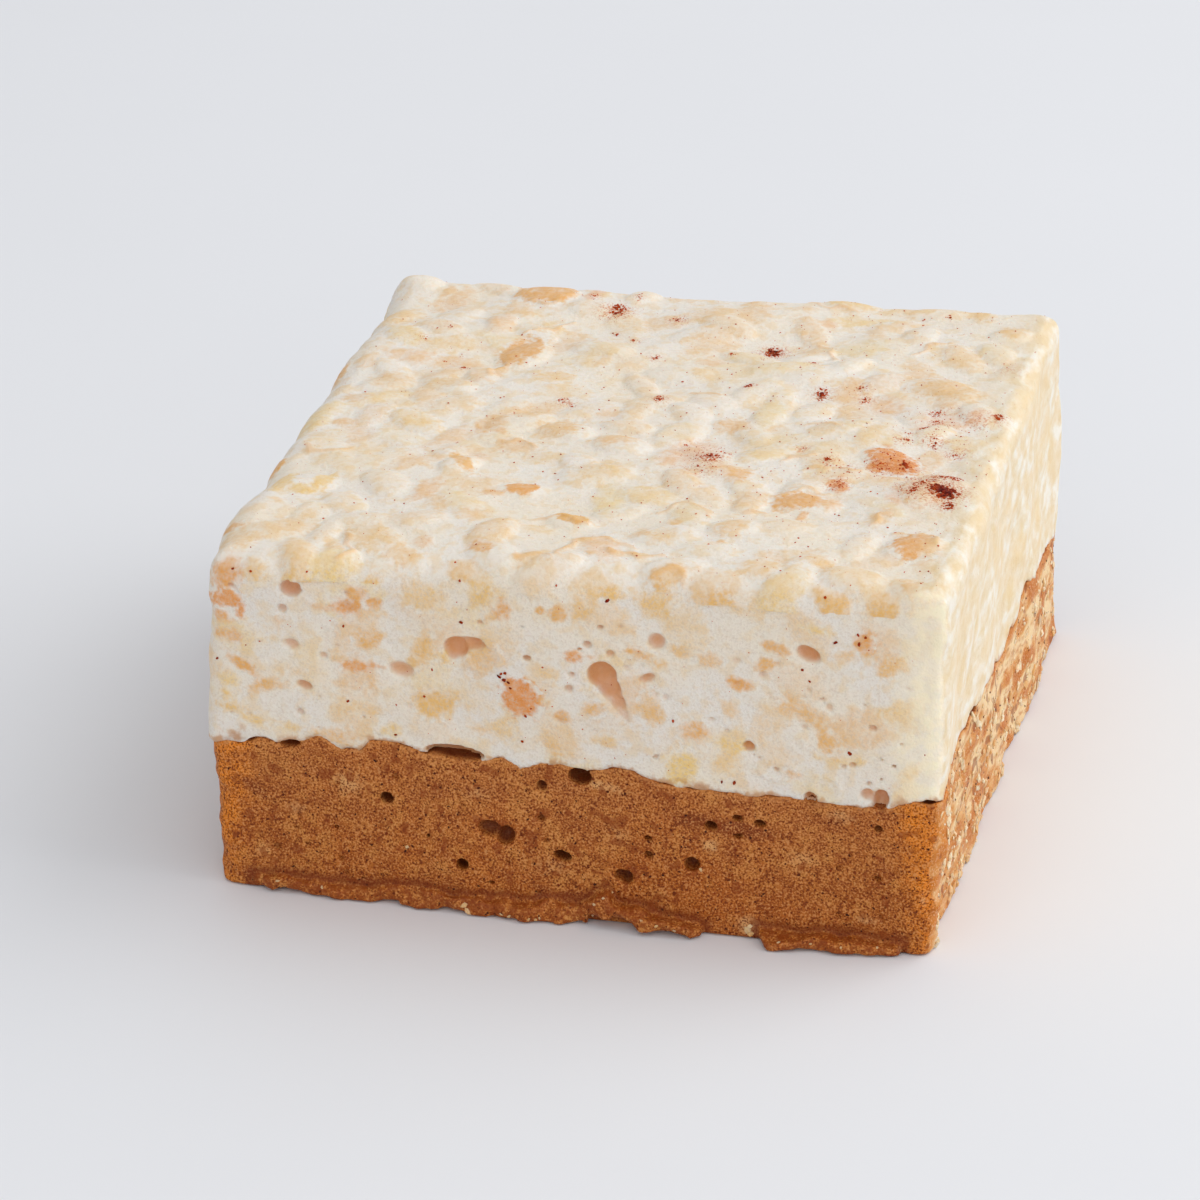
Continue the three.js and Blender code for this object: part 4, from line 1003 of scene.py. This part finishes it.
# Crust strips: side and stations of (place along the side, reach from the wall, underside, upper side).
CRUSTS = (
    ("front", (
        (-31.5, .3, .5, 1.2), (-29, .9, .2, 1.7), (-26, .6, .2, 1.5), (-22, .7, .1, 1.3),
        (-17, .9, .1, 1.8), (-13, 1.3, .1, 1.6), (-8, 1.1, .1, 1.5), (-4, 1.3, .1, 1.9),
        (-.5, 1.1, .1, 1.7), (2, .7, .1, 1.6))),
    ("front", (
        (1.2, .7, .9, 2), (2.8, 1, 1.2, 3.2), (4, 1.2, 1.3, 3.7), (4.7, 1.1, 1, 2.5),
        (6.5, 1.3, .8, 2.1), (8.5, 1.6, .5, 1.7), (10.5, 1.9, .3, 1.4), (12.3, 2, .1, 1.1),
        (13.2, 1, .2, .9))),
    ("front", (
        (18.8, .9, .3, 1.1), (19.8, 1.8, .2, 1.1), (22, 2, .2, 1.2), (25, 1.4, .2, 1.3),
        (28.4, 1.7, .1, 1.3), (30.6, .8, .2, 1.2), (32.5, .3, .2, 1))),
    ("left", (
        (-28, .3, .3, 1.1), (-22, .8, .2, 1.4), (-14, .4, .1, 1.3), (-6, .9, .1, 1.6), (2, .5, .1, 1.2),
        (9, 1, .1, 1.5), (16, .3, .2, 1))),
    ("back", (
        (-26, .3, .3, 1.1), (-18, .9, .2, 1.5), (-9, .5, .1, 1.2), (-1, 1.1, .2, 1.7), (6, .7, .1, 1.3),
        (14, .9, .1, 1.4), (22, .3, .2, 1))),
)
CRUST_NOSE = 0.2
CRUST_ROOT = 4                          # how far into the layer a strip is held

# Marks on the brown front: (x, height, half length, half height, lean in degrees, depth of tone),
# where a tone above 0 darkens: partly dark smudges in the brown, partly painted shade along creases
# and round clusters of bubbles; a tone below 0 is a pale grain near the skin.
BROWN_MARKS = (
    (-19.9, 1.9, 2.4, 0.8, 5, 0.7), (-31.5, 10.8, 2.2, 0.8, -35, 0.8), (-32, 1.2, 1.2, 0.9, 0, 0.9),
    (-26.2, 10.3, 0.9, 0.4, 0, 0.4), (-28.3, 6, 0.5, 0.4, 0, 0.6), (-24, 6.5, 0.5, 0.5, 0, 0.5),
    (-21.1, 7.8, 0.6, 0.4, 0, 0.5), (-18, 3.6, 1.3, 0.3, -5, 0.6), (1.5, 2.6, 2.2, 0.5, 0, 0.6),
    (12.9, 12, 3.4, 0.9, -6, 0.95), (17.4, 11.4, 2.6, 1, -8, 0.8), (-14.8, 15, 1.4, 0.7, 0, 0.5),
    (-2.7, 3.2, 1.2, 0.4, -8, 0.7), (24, 15, 1.4, 0.7, 0, 0.8), (30.6, 14.6, 1.3, 0.6, 0, 0.7),
    (9.5, 13.6, 1.6, 0.5, -10, 0.5), (-25.5, 15.3, 1.6, 0.5, 5, 0.5), (33, 2.2, 1.6, 0.9, 0, 0.6),
    (-33.6, 4.4, 1, 1.2, 0, 0.5), (21, 3.8, 2.4, 0.5, 0, 0.4), (27.5, 2.6, 1.4, 0.5, 0, 0.5),
    (-21.9, 12.3, 1.8, 1.3, 0, -0.6), (14, 9.5, 0.9, 0.8, 0, -0.8), (17.6, 1.3, 1.1, 1, 0, -0.9),
    (-27.3, 9, 1.2, 0.9, 0, -0.5), (4.8, 9.6, 1.6, 1.2, 0, -0.4), (-9, 12.3, 2, 1, 0, -0.4),
    (22.5, 8.6, 2.2, 1.6, 0, -0.4), (-30.7, 4.1, 1.2, 0.8, 0, -0.4), (28.8, 3, 1.4, 0.6, 5, -0.7),
    (3, 14.6, 3.2, 0.6, -8, -0.7), (26.5, 13.8, 1.6, 0.9, 0, -0.6), (-1.5, 5.6, 3, 1.4, 0, -0.35),
)


def mark_values(points, marks):
    """How dark (above 0) or pale (below 0) the marks make each point of the front."""
    total = np.zeros(len(points))
    for x, z, half_length, half_height, lean, depth in marks:
        cosine = math.cos(math.radians(lean))
        sine = math.sin(math.radians(lean))
        along = (points[:, 0] - x) * cosine + (points[:, 2] - z) * sine
        up = (points[:, 2] - z) * cosine - (points[:, 0] - x) * sine
        total += depth * np.exp(-(along / half_length) ** 2 - (up / half_height) ** 2)
    return total


def crust_distance(wall, x, y, z, side, stations):
    """Distance outside one crust strip, measured from the wall that it was squeezed out of."""
    out, along = FACES[side][:2]
    place = along[0] * x + along[1] * y
    behind = HALF - CRUST_ROOT - (out[0] * x + out[1] * y)
    s, reach, under, upper = zip(*stations)
    middle = (np.interp(place, s, under) + np.interp(place, s, upper)) / 2
    thick = (np.interp(place, s, upper) - np.interp(place, s, under)) / 2
    ends = np.maximum(s[0] - place, place - s[-1])
    slab = round_meeting(np.abs(z - middle) - thick, wall - np.interp(place, s, reach), CRUST_NOSE)
    return np.maximum(np.maximum(slab, ends), behind)


brown_low, brown_high = [np.array(corner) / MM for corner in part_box("brown_marshmallow_layer")]
brown_axes = grid_axes(brown_low - 1.5, brown_high + 1.5)
x, y, z = spread(brown_axes)
wobble = [PUFF_WARP * soft_noise(brown_axes, (2.6,) * 3, seed) for seed in (41, 42, 43)]
cut_side = ease(33, 35.2, x)
wall = wall_distance(x, y, z).astype(np.float32)
crumb = soft_noise(brown_axes, (1.2,) * 3, 51)
grit = soft_noise(brown_axes, (0.7,) * 3, 52)
skin = wall - SWELL_WALL * swell_grid(brown_axes) - BROWN_RELIEF * puff_rise(brown_axes, wobble)
clods = soft_noise(brown_axes, (2, 3.6, 1.8), 53)
skin -= 0.06 * crumb + 0.05 * grit + cut_side * (0.26 * np.abs(clods) + 0.06 * grit + 0.08 * crumb - 0.12)
upright = 1 - ease(1, 4.5, np.hypot(HALF - np.abs(x), HALF + y))
skin -= upright * (0.28 * soft_noise(brown_axes, (1.7,) * 3, 55) + 0.12 * grit + 0.12)
join = torn_join(brown_axes)
body = round_meeting(skin, z - join - LAYER_LAP, SHOULDER_ROUND)
crust = np.full(body.shape, 9, np.float32)
for crust_side, stations in CRUSTS:
    strip = crust_distance(wall - 0.45 * crumb - 0.4 * grit, x, y, z + 0.35 * crumb + 0.22 * grit,
                           crust_side, stations)
    crust = np.minimum(crust, strip)
body = -round_meeting(-body, -crust, 0.1)
body = round_meeting(body, -z, FOOT_ROUND)
carve_eggs(body, brown_axes, "front", BROWN_BUBBLES + JOIN_CLEFTS, 0.1)
carve_eggs(body, brown_axes, "front", scatter_bubbles("front", 2, 14, 60, 0.4, 0.7), 0.1)
for hidden in ("left", "back"):
    carve_eggs(body, brown_axes, hidden, scatter_bubbles(hidden, 2, 14, 45, 0.4, 1.6), 0.1)

points, faces = main_piece(*net_surface(body, brown_axes))
brown_rice = as_object("brown_puffed_rice", fit_in(points, (brown_low, brown_high)), faces)
thin_out(brown_rice, MOST_TRIANGLES)
points = read_points(brown_rice.data)
facing = read_points(brown_rice.data, "normal")
# depth below the skin, which the finish uses to paint shade into bubbles and clefts
keep_value(brown_rice.data, "sunk", np.clip(-read_field(skin, brown_axes, points), 0, 3))
keep_value(brown_rice.data, "on_cut", ease(0.45, 0.8, facing[:, 0]) * ease(31, 34.5, points[:, 0]))
corner_gap = np.hypot(HALF - np.abs(points[:, 0]), HALF - np.abs(points[:, 1]))
front_glow = 1 - ease(0.6, 4.2, corner_gap - 0.12 * points[:, 2])
keep_value(brown_rice.data, "near_edge", front_glow * (1 - ease(0, 20, points[:, 1])))
keep_value(brown_rice.data, "mark", mark_values(points, BROWN_MARKS) * ease(0.3, 0.7, -facing[:, 1]))
below_join = read_field(np.broadcast_to(join, skin.shape), brown_axes, points) - points[:, 2]
keep_value(brown_rice.data, "seam", 1 - ease(0.1, 0.9, below_join))
crust_at = read_field(crust, brown_axes, points)
keep_value(brown_rice.data, "crust", 1 - ease(0.1, 0.3, np.abs(crust_at)))
# just outside each crust strip: where the finish paints shade into the crease between strip and wall
keep_value(brown_rice.data, "crease", ease(0.05, 0.3, crust_at) * (1 - ease(0.4, 1.3, crust_at)))

brown = Finish("brown_marshmallow")
grain = brown.noise(0.2, 2)
fine = brown.noise(0.55, 3)
mottle = brown.noise(1.8, 3)
slow = brown.noise(7, 2)
base = brown.colours(mottle, (
    (0.36, linear(158, 82, 20)), (0.5, linear(178, 102, 38)), (0.64, linear(194, 124, 58))))
base = brown.mix(brown.ramp(slow, 0.45, 0.65, 0, 0.5), base, linear(176, 90, 16))
lifted = brown.node("ShaderNodeSeparateXYZ")
brown.feed(lifted.inputs[0], brown.place)
base = brown.mix(brown.ramp(lifted.outputs[2], 0.006, 0.015, 0, 0.35), base, linear(188, 118, 60))
glow = brown.math("MULTIPLY", brown.value("near_edge"), brown.ramp(mottle, 0.3, 0.65, 0.3, 0.85))
base = brown.mix(glow, base, linear(232, 130, 14))
mark = brown.math("ADD", brown.value("mark"), brown.ramp(fine, 0.3, 0.7, -0.12, 0.12))
# dark marks: partly the brown's own smudges, partly painted shade in creases and round bubble clusters
base = brown.mix(brown.ramp(mark, 0.1, 0.9, 0, 0.85), base, linear(126, 54, 10))
base = brown.mix(brown.ramp(mark, -0.12, -0.8, 0, 0.7), base, linear(222, 170, 112))
base = brown.mix(brown.ramp(fine, 0.47, 0.66, 0, 0.55), base, linear(146, 70, 12))
base = brown.mix(brown.ramp(grain, 0.5, 0.66, 0, 0.95), base, linear(112, 46, 6))
base = brown.mix(brown.ramp(grain, 0.5, 0.34, 0, 0.58), base, linear(220, 154, 92))
lumpy = brown.noise(2.2, 2, stretch=(1, 0.35, 1))
crumbly = brown.noise(0.7, 3, stretch=(1, 0.4, 1))
cut_base = brown.colours(lumpy, (
    (0.4, linear(194, 116, 46)), (0.5, linear(212, 148, 80)), (0.6, linear(234, 204, 156))))
cut_base = brown.mix(brown.ramp(crumbly, 0.48, 0.66, 0, 0.55), cut_base, linear(186, 104, 36))
low_end = brown.ramp(lifted.outputs[1], -0.024, -0.036, 0, 0.4)
cut_base = brown.mix(low_end, cut_base, linear(204, 124, 40))
cut_base = brown.mix(brown.ramp(grain, 0.48, 0.36, 0, 0.25), cut_base, linear(246, 230, 200))
base = brown.mix(brown.math("MULTIPLY", brown.value("on_cut"), 0.92), base, cut_base)
crusty = brown.ramp(fine, 0.38, 0.58, 0, 0.75)
base = brown.mix(brown.math("MULTIPLY", brown.value("crust"), crusty), base, linear(142, 66, 16))
# painted shade in the crease between each crust strip and the wall
base = brown.mix(brown.math("MULTIPLY", brown.value("crease"), 0.75), base, linear(118, 46, 6))
spots = brown.ramp(brown.noise(1.3, 0), 0.68, 0.76, 0, 0.6)
base = brown.mix(spots, base, linear(134, 58, 8))
top_seam = brown.math("ADD", brown.value("seam"), brown.ramp(fine, 0.3, 0.7, -0.8, 0.2))
base = brown.mix(brown.ramp(top_seam, 0.3, 1.2, 0, 0.5), base, linear(214, 146, 84))
# painted shade: the deeper a point lies in a bubble or cleft, the darker brown it is painted
base = brown.mix(brown.ramp(brown.value("sunk"), 0.1, 1.2, 0, 0.85), base, linear(96, 38, 10))
brown.feed(brown.shader.inputs["Base Color"], base)
brown.feed(brown.shader.inputs["Roughness"], brown.ramp(mottle, 0.3, 0.7, 0.5, 0.7))
brown.shader.inputs["Specular IOR Level"].default_value = 0.22
brown.shader.inputs["Subsurface Weight"].default_value = 0.1
brown.shader.inputs["Subsurface Radius"].default_value = (1.0, 0.4, 0.15)
brown.shader.inputs["Subsurface Scale"].default_value = 0.0006
brown.bump((grain, 0.05), (fine, 0.1), (mottle, 0.1))
brown_rice.data.materials.append(brown.material)
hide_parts("brown_marshmallow_layer")
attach(brown_rice, "root")

# ------------------------------------------------------------------ red-brown powder
# Grains of a dark red-brown spice powder that fell on the top, in a few clots with loose grains round
# them; a few are caught in the front skin. Each is a small lump pressed a little into the film.

POWDER_CLOTS = (
    # x, y, reach along x, reach along y, heading in degrees, grains, largest grain
    (31.9, -13.9, 1.2, 1.5, 60, 150, .75), (32.8, -16.7, .55, .7, 0, 26, .55),
    (31.3, -9.8, 1.3, .7, 20, 40, .4), (32.6, -10.4, .6, .8, 0, 24, .4),
    (29.8, -11.9, 1.4, .8, 40, 30, .35), (28.9, -14.2, .5, 1.1, 0, 30, .4),
    (26.8, -6.8, .5, .8, 0, 30, .45), (24.7, -7.4, .5, .6, 0, 20, .4), (23.4, -6.4, .7, .4, 0, 10, .3),
    (8, 21.3, .8, 1.2, 10, 70, .6), (-10.4, 28.8, .8, 1.5, 10, 60, .55), (-5.8, 35.4, .5, .9, 0, 30, .5),
    (-15.4, 36, .5, .4, 0, 16, .5), (15.2, 10.1, .5, 1.1, 5, 36, .5), (7.6, 10.2, .5, .5, 0, 18, .4),
    (33.9, 6.5, .45, .7, 0, 30, .45), (-.6, 5.3, .45, .9, 0, 28, .4), (-3.6, 27.2, .8, .5, 0, 16, .35),
    (-3.4, 16.5, .6, .5, 0, 12, .35), (-6.8, 21.3, .9, .3, -45, 12, .3),
    (-8.8, 32.3, .25, .8, 0, 10, .35), (-9.2, 23, .25, .4, 0, 6, .4), (-28.5, 17.8, .5, .4, 0, 9, .3),
    (-26.5, 20.8, .25, .5, 0, 7, .35), (-22.6, 11.4, .3, .8, 0, 10, .35),
    (-24.9, 12.9, .7, .15, -40, 6, .25), (-10.3, 4.2, .5, .5, 0, 16, .4), (-9, 3, .6, .25, -50, 8, .3),
    (13.2, 16.5, .7, .2, 60, 10, .35), (4.1, 18.9, .4, .4, 0, 8, .35), (8, 17, .35, .35, 0, 6, .3),
    (19, 11.8, .5, .5, 0, 12, .3), (19.7, 9.6, .5, .8, 0, 18, .35), (24.5, 32.4, .3, .5, 0, 8, .35),
    (27.5, 7, .8, .8, 0, 26, .35), (28, 4.4, .7, .6, 0, 16, .3), (27.2, 1.8, .5, .5, 0, 14, .4),
    (28.8, -1.2, .4, 1.3, 15, 20, .35), (25.9, .3, .4, .4, 0, 8, .3), (31.2, -3.3, .9, .7, 0, 22, .3),
    (26, -1.3, .6, .5, 0, 12, .35), (16, -4.3, .5, .35, 0, 8, .3), (19.1, -6.9, .4, .5, 0, 16, .4),
    (19.5, -8.2, .4, .4, 0, 9, .3), (20.8, -8.4, .5, .4, 0, 10, .3), (21.3, -12.4, .8, 1.1, 0, 22, .3),
    (7.7, -8.3, .9, .9, 0, 46, .5), (8.7, -6.3, .7, .6, 0, 14, .3), (6.6, -6.6, 2.2, 2.8, 0, 50, .26),
    (7.6, -11, 1.7, 1, 0, 26, .26), (4.3, -4.4, .3, .3, 0, 4, .35), (30, -12.4, 3, 3.4, 30, 110, .28),
    (25.4, -6.4, 2.8, 2, -50, 50, .26), (22.4, -9.5, 4, 1.4, 10, 40, .24),
    (-10.4, 28.6, 1.8, 2.4, 0, 30, .22), (8, 21, 1.9, 2, 0, 26, .22), (29, 3.6, 3, 5, 10, 60, .24),
    (-11.5, -19, .5, .3, 0, 4, .25), (-13.6, 31.6, .5, .8, 0, 10, .3), (-24.3, 15.5, 1.4, 1.4, 0, 6, .2),
)
POWDER_LOOSE = 2200                     # single grains scattered over the rest of the top,
POWDER_FRONT = 70                       # and caught in the front
FRONT_GRAINS = (
    # x, height and size of the grains that show on the front
    (-32.9, 33.6, .3), (-31, 33.7, .3), (-27.7, 29.8, .25), (-22, 28.8, .3), (-34.8, 24, .35),
    (-14.1, 22.2, .3), (-21.7, 21, .3), (-17, 17.9, .3), (-10.4, 30.3, .4), (-10.6, 34.3, .3),
    (-6.7, 25.1, .4), (-6.1, 25.5, .35), (-6.2, 24.8, .4), (-5.8, 24.6, .35), (-6.5, 25.4, .3),
    (-5.6, 24, .3), (-4.2, 21.1, .35), (-3.6, 22, .22), (-4.6, 18.3, .3), (3.8, 33.8, .45),
    (10.2, 22.1, .3), (25.6, 31.6, .4), (22.5, 28.5, .3), (23.2, 27.4, .25), (27.2, 20.5, .45),
    (15, 16.4, .3), (16.2, 16.4, .4), (27.8, 31.6, .4), (27.7, 32.5, .35), (28.4, 32.3, .3),
    (-1.1, 34.9, .25), (-2.4, 26.5, .22), (-13.3, 25.1, .25), (-25.4, 34.2, .25), (-16.9, 21.1, .2),
    (24.5, 35.9, .3),
)
GRAIN_FLATNESS = 0.5
SMALLEST_CLOT_GRAIN = 0.1
ICO_POINTS = []
for a, b in itertools.product((-1, 1), (-(1 + math.sqrt(5)) / 2, (1 + math.sqrt(5)) / 2)):
    ICO_POINTS += [(0, a, b), (a, b, 0), (b, 0, a)]
ICO_POINTS = np.array(ICO_POINTS)
ICO_FACES = [corner for corner in itertools.combinations(range(12), 3)
             if all(abs(np.linalg.norm(ICO_POINTS[p] - ICO_POINTS[q]) - 2) < 1e-6
                    for p, q in itertools.combinations(corner, 2))]
ICO_FACES = np.array([c if np.linalg.det(ICO_POINTS[list(c)]) > 0 else c[::-1] for c in ICO_FACES])
ICO_POINTS = ICO_POINTS / np.linalg.norm(ICO_POINTS[0])


def surface_tree(piece):
    """For finding where a straight line meets the skin of a piece."""
    mesh = piece.data
    corners = [vertex.co[:] for vertex in mesh.vertices]
    return BVHTree.FromPolygons(corners, [face.vertices[:] for face in mesh.polygons])


def land(tree, start, way):
    """Where a line from start meets the skin, and the skin's outward direction there."""
    spot, normal, _, _ = tree.ray_cast(Vector(start) * MM, Vector(way))
    if spot is None:
        return None
    return np.array(spot) / MM, np.array(normal)


def lump_mesh(name, lumps, flatness, shake, seed):
    """One mesh of many lumps, each (place, outward direction, size, value to keep)."""
    chance = np.random.RandomState(seed)
    places = []
    faces = []
    values = []
    for number, (place, outward, size, value) in enumerate(lumps):
        across = np.cross(outward, chance.normal(size=3))
        across /= np.linalg.norm(across)
        along = np.cross(outward, across)
        stretch = chance.uniform(0.75, 1.35)
        corners = ICO_POINTS * chance.uniform(1 - shake, 1 + shake, (12, 1)) * size / 2
        shape = (corners[:, :1] * across * stretch + corners[:, 1:2] * along / stretch
                 + corners[:, 2:] * outward * flatness)
        places.append(place + shape + outward * size * flatness * 0.15)
        faces.append(ICO_FACES + 12 * number)
        values += [value] * 12
    whole_box = np.array(cad_box) / MM
    piece = as_object(name, fit_in(np.concatenate(places), whole_box), np.concatenate(faces).tolist())
    keep_value(piece.data, "shade", values)
    return piece


white_tree = surface_tree(white_rice)
chance = np.random.RandomState(77)
grains = []


def drop_grain(x, y, size):
    """Lets a grain fall on the top; the larger, the darker."""
    found = land(white_tree, (x, y, 60), (0, 0, -1))
    if found and found[1][2] > 0.5:
        grains.append((*found, size, np.clip(1.35 - 2.6 * size + chance.uniform(-0.3, 0.2), 0, 1)))


for x, y, reach_x, reach_y, heading, number, largest in POWDER_CLOTS:
    turn = math.radians(heading)
    for _ in range(number // (1)):
        far = math.sqrt(chance.uniform(0, 1)) * 1.15
        round_way = chance.uniform(0, 2 * math.pi)
        s = far * math.cos(round_way) * reach_x
        t = far * math.sin(round_way) * reach_y
        size = largest * chance.uniform(0.3, 1) * (1.1 - 0.6 * far)
        along = s * math.cos(turn) - t * math.sin(turn)
        across = s * math.sin(turn) + t * math.cos(turn)
        drop_grain(x + along, y + across, max(size, SMALLEST_CLOT_GRAIN))
for _ in range(POWDER_LOOSE):
    x = chance.uniform(-34.5, 35)
    y = chance.uniform(-35, 35)
    if chance.uniform(0, 1) < 0.3 + 0.5 * ease(-8, 18, x):
        drop_grain(x, y, 0.07 + 0.17 * chance.uniform(0, 1) ** 4)
front_grains = list(FRONT_GRAINS)
for _ in range(POWDER_FRONT):
    x = chance.uniform(-34, 35)
    z = chance.uniform(17, 35)
    front_grains.append((x, z, 0.08 + 0.09 * chance.uniform(0, 1) ** 2))
for x, z, size in front_grains:
    found = land(white_tree, (x, -60, z), (0, 1, 0))
    if found and found[1][1] < -0.5:
        grains.append((*found, size, np.clip(1.2 - 2.4 * size + chance.uniform(-0.3, 0.2), 0, 1)))
powder_grains = lump_mesh("spice_powder", grains, GRAIN_FLATNESS, 0.25, 78)


def lump_finish(piece, dark, light, blot, blot_size, blot_edge, blot_share, roughness):
    """A finish for a piece made of lumps: each from dark to light by its shade, with soft blots."""
    finish = Finish(piece.name)
    colour = finish.mix(finish.value("shade"), dark, light)
    blots = finish.ramp(finish.noise(blot_size, 1), 0.4, blot_edge, 0, blot_share)
    finish.feed(finish.shader.inputs["Base Color"], finish.mix(blots, colour, blot))
    finish.shader.inputs["Roughness"].default_value = roughness
    piece.data.materials.append(finish.material)
    return finish


powder = lump_finish(powder_grains, linear(84, 14, 8), linear(206, 84, 16), linear(170, 52, 10),
                     0.3, 0.65, 0.5, 0.6)
powder.shader.inputs["Specular IOR Level"].default_value = 0.12
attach(powder_grains, "root")

# ------------------------------------------------------------------ spice specks of the brown layer
# Ground cinnamon and other dark spice stirred into the brown marshmallow. The specks that lie in its
# skin show as small dark dots, more on the skins than on the knife cut.

BROWN_SPECKS = {"front": 1700, "left": 900, "back": 900, "right": 350}
brown_tree = surface_tree(brown_rice)
chance = np.random.RandomState(97)
SMALLEST_SPECK = 0.1
SPECK_SPREAD = 0.2
specks = []
for face, number in BROWN_SPECKS.items():
    out = np.array(FACES[face][0])
    for _ in range(number // (1)):
        place = face_point(face, chance.uniform(-35.5, 35.5), chance.uniform(0.2, 16.5))
        size = SMALLEST_SPECK + SPECK_SPREAD * chance.uniform(0, 1) ** 3
        found = land(brown_tree, place + 20 * out, -out)
        if found and found[1] @ out > 0.4 and found[0][2] < join_height(*found[0][:2]) - 0.3:
            specks.append((*found, size, chance.uniform(0, 1)))
brown_specks = lump_mesh("brown_spice_specks", specks, 0.4, 0.25, 98)

speck_finish = lump_finish(brown_specks, linear(52, 20, 10), linear(132, 54, 10), linear(96, 36, 10),
                           0.2, 0.65, 0.3, 0.6)
speck_finish.shader.inputs["Specular IOR Level"].default_value = 0.15
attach(brown_specks, "root")

# ------------------------------------------------------------------ pale crumbs
# Broken rice and sugary crumbs that the knife left on the brown layer's cut side, and a few pale
# crumbs caught along the foot at the front. They are pressed into the marshmallow.

CUT_CRUMBS = 1100
SMALLEST_CRUMB = 0.2
CRUMB_SPREAD = 1.0
FOOT_CRUMBS = (
    (-29, 1.4, .35), (-24.6, 1.1, .3), (-10.2, .9, .6), (-9.8, .5, .8), (-6.4, .6, .3), (-5.6, .5, .35),
    (-3, .4, .4), (-3.6, .5, .3), (-2.6, .6, .25), (2.3, .6, .3), (2.8, 2.6, .3), (3.7, 3.3, .3),
    (4.3, 3.4, .28), (7.5, 1.6, .28), (9, 1.2, .35), (10.8, .9, .3), (17.6, .9, .7), (17.9, .5, .8),
    (17.8, 1.3, .6), (21, .9, .3), (24, .8, .28), (27, .9, .3), (30.4, 1, .3), (-16, 6.2, .4),
    (13, 6.9, .4),
)
chance = np.random.RandomState(87)
crumbs = []
for _ in range(CUT_CRUMBS // (1)):
    y = -36 + 72 * chance.uniform(0, 1)
    z = 0.3 + 15.5 * chance.uniform(0, 1) ** 1.25
    if z < join_height(36, y) - 0.3 and chance.uniform(0, 1) < 0.45 + 0.55 * ease(0, -30, y):
        found = land(brown_tree, (60, y, z), (-1, 0, 0))
        if found and found[1][0] > 0.3:
            size = SMALLEST_CRUMB + CRUMB_SPREAD * chance.uniform(0, 1) ** 3
            crumbs.append((*found, size, chance.uniform(0, 1)))
for x, z, size in FOOT_CRUMBS:
    found = land(brown_tree, (x, -60, z), (0, 1, 0))
    if found:
        crumbs.append((*found, size, chance.uniform(0, 0.5)))
pale_crumbs = lump_mesh("pale_crumbs", crumbs, 0.45, 0.4, 88)

crumb_finish = lump_finish(pale_crumbs, linear(218, 162, 96), linear(244, 226, 192), linear(214, 156, 96),
                           0.3, 0.7, 0.6, 0.35)
crumb_finish.shader.inputs["Subsurface Weight"].default_value = 0.4
crumb_finish.shader.inputs["Subsurface Radius"].default_value = (1.0, 0.7, 0.4)
crumb_finish.shader.inputs["Subsurface Scale"].default_value = 0.0008
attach(pale_crumbs, "root")

# ------------------------------------------------------------------ floor and light
# A plain pale floor, a wide soft lamp to the right, a soft fill lamp at the front, and light from all round
# that is stronger from the right.

floor_mesh = bpy.data.meshes.new("floor")
FLOOR_REACH = 3.0
FLOOR_DROP = 0.00005
floor_corners = [(-FLOOR_REACH, -FLOOR_REACH), (FLOOR_REACH, -FLOOR_REACH), (FLOOR_REACH, FLOOR_REACH),
                 (-FLOOR_REACH, FLOOR_REACH)]
floor_mesh.from_pydata([(fx, fy, -FLOOR_DROP) for fx, fy in floor_corners], [], [(0, 1, 2, 3)])
floor = bpy.data.objects.new("floor", floor_mesh)
bpy.context.scene.collection.objects.link(floor)
floor_finish = Finish("pale_floor")
floor_finish.feed(floor_finish.shader.inputs["Base Color"], floor_finish.mix(
    floor_finish.noise(60, 2), linear(229, 230, 233), linear(232, 233, 236)))
floor_finish.shader.inputs["Roughness"].default_value = 0.7
floor_mesh.materials.append(floor_finish.material)

DARK_SIDE = 0.44                        # strength of the room's light from the left
LIGHT_SIDE = 1.03                       # and from the right
world = bpy.data.worlds.new("soft_room")
world.use_nodes = True
sky = world.node_tree.nodes["Background"]
sky.inputs["Color"].default_value = (0.96, 0.975, 1.0, 1)
sky_place = world.node_tree.nodes.new("ShaderNodeTexCoord")
sky_parts = world.node_tree.nodes.new("ShaderNodeSeparateXYZ")
sky_slope = world.node_tree.nodes.new("ShaderNodeMapRange")
world.node_tree.links.new(sky_place.outputs["Generated"], sky_parts.inputs[0])
world.node_tree.links.new(sky_parts.outputs[0], sky_slope.inputs["Value"])
world.node_tree.links.new(sky_slope.outputs[0], sky.inputs["Strength"])
for name, value in (("From Min", -1), ("From Max", 1), ("To Min", DARK_SIDE), ("To Max", LIGHT_SIDE)):
    sky_slope.inputs[name].default_value = value
bpy.context.scene.world = world


def add_lamp(name, place, aim, size, power, colour):
    lamp = bpy.data.lights.new(name, "AREA")
    lamp.shape = "DISK"
    lamp.size = size
    lamp.energy = power
    lamp.color = colour
    holder = bpy.data.objects.new(name, lamp)
    holder.location = place
    holder.rotation_euler = (Vector(aim) - Vector(place)).to_track_quat("-Z", "Y").to_euler()
    bpy.context.scene.collection.objects.link(holder)


add_lamp("wide_lamp", (0.62, 0.25, 0.55), (0, 0, 0.02), 0.95, 3.3, (1.0, 0.99, 0.975))
add_lamp("front_fill", (0.0, -0.75, 0.5), (0, 0, 0.02), 1.0, 1.2, (1.0, 0.985, 0.97))
bpy.context.scene.view_settings.view_transform = "Standard"

bpy.context.view_layer.update()
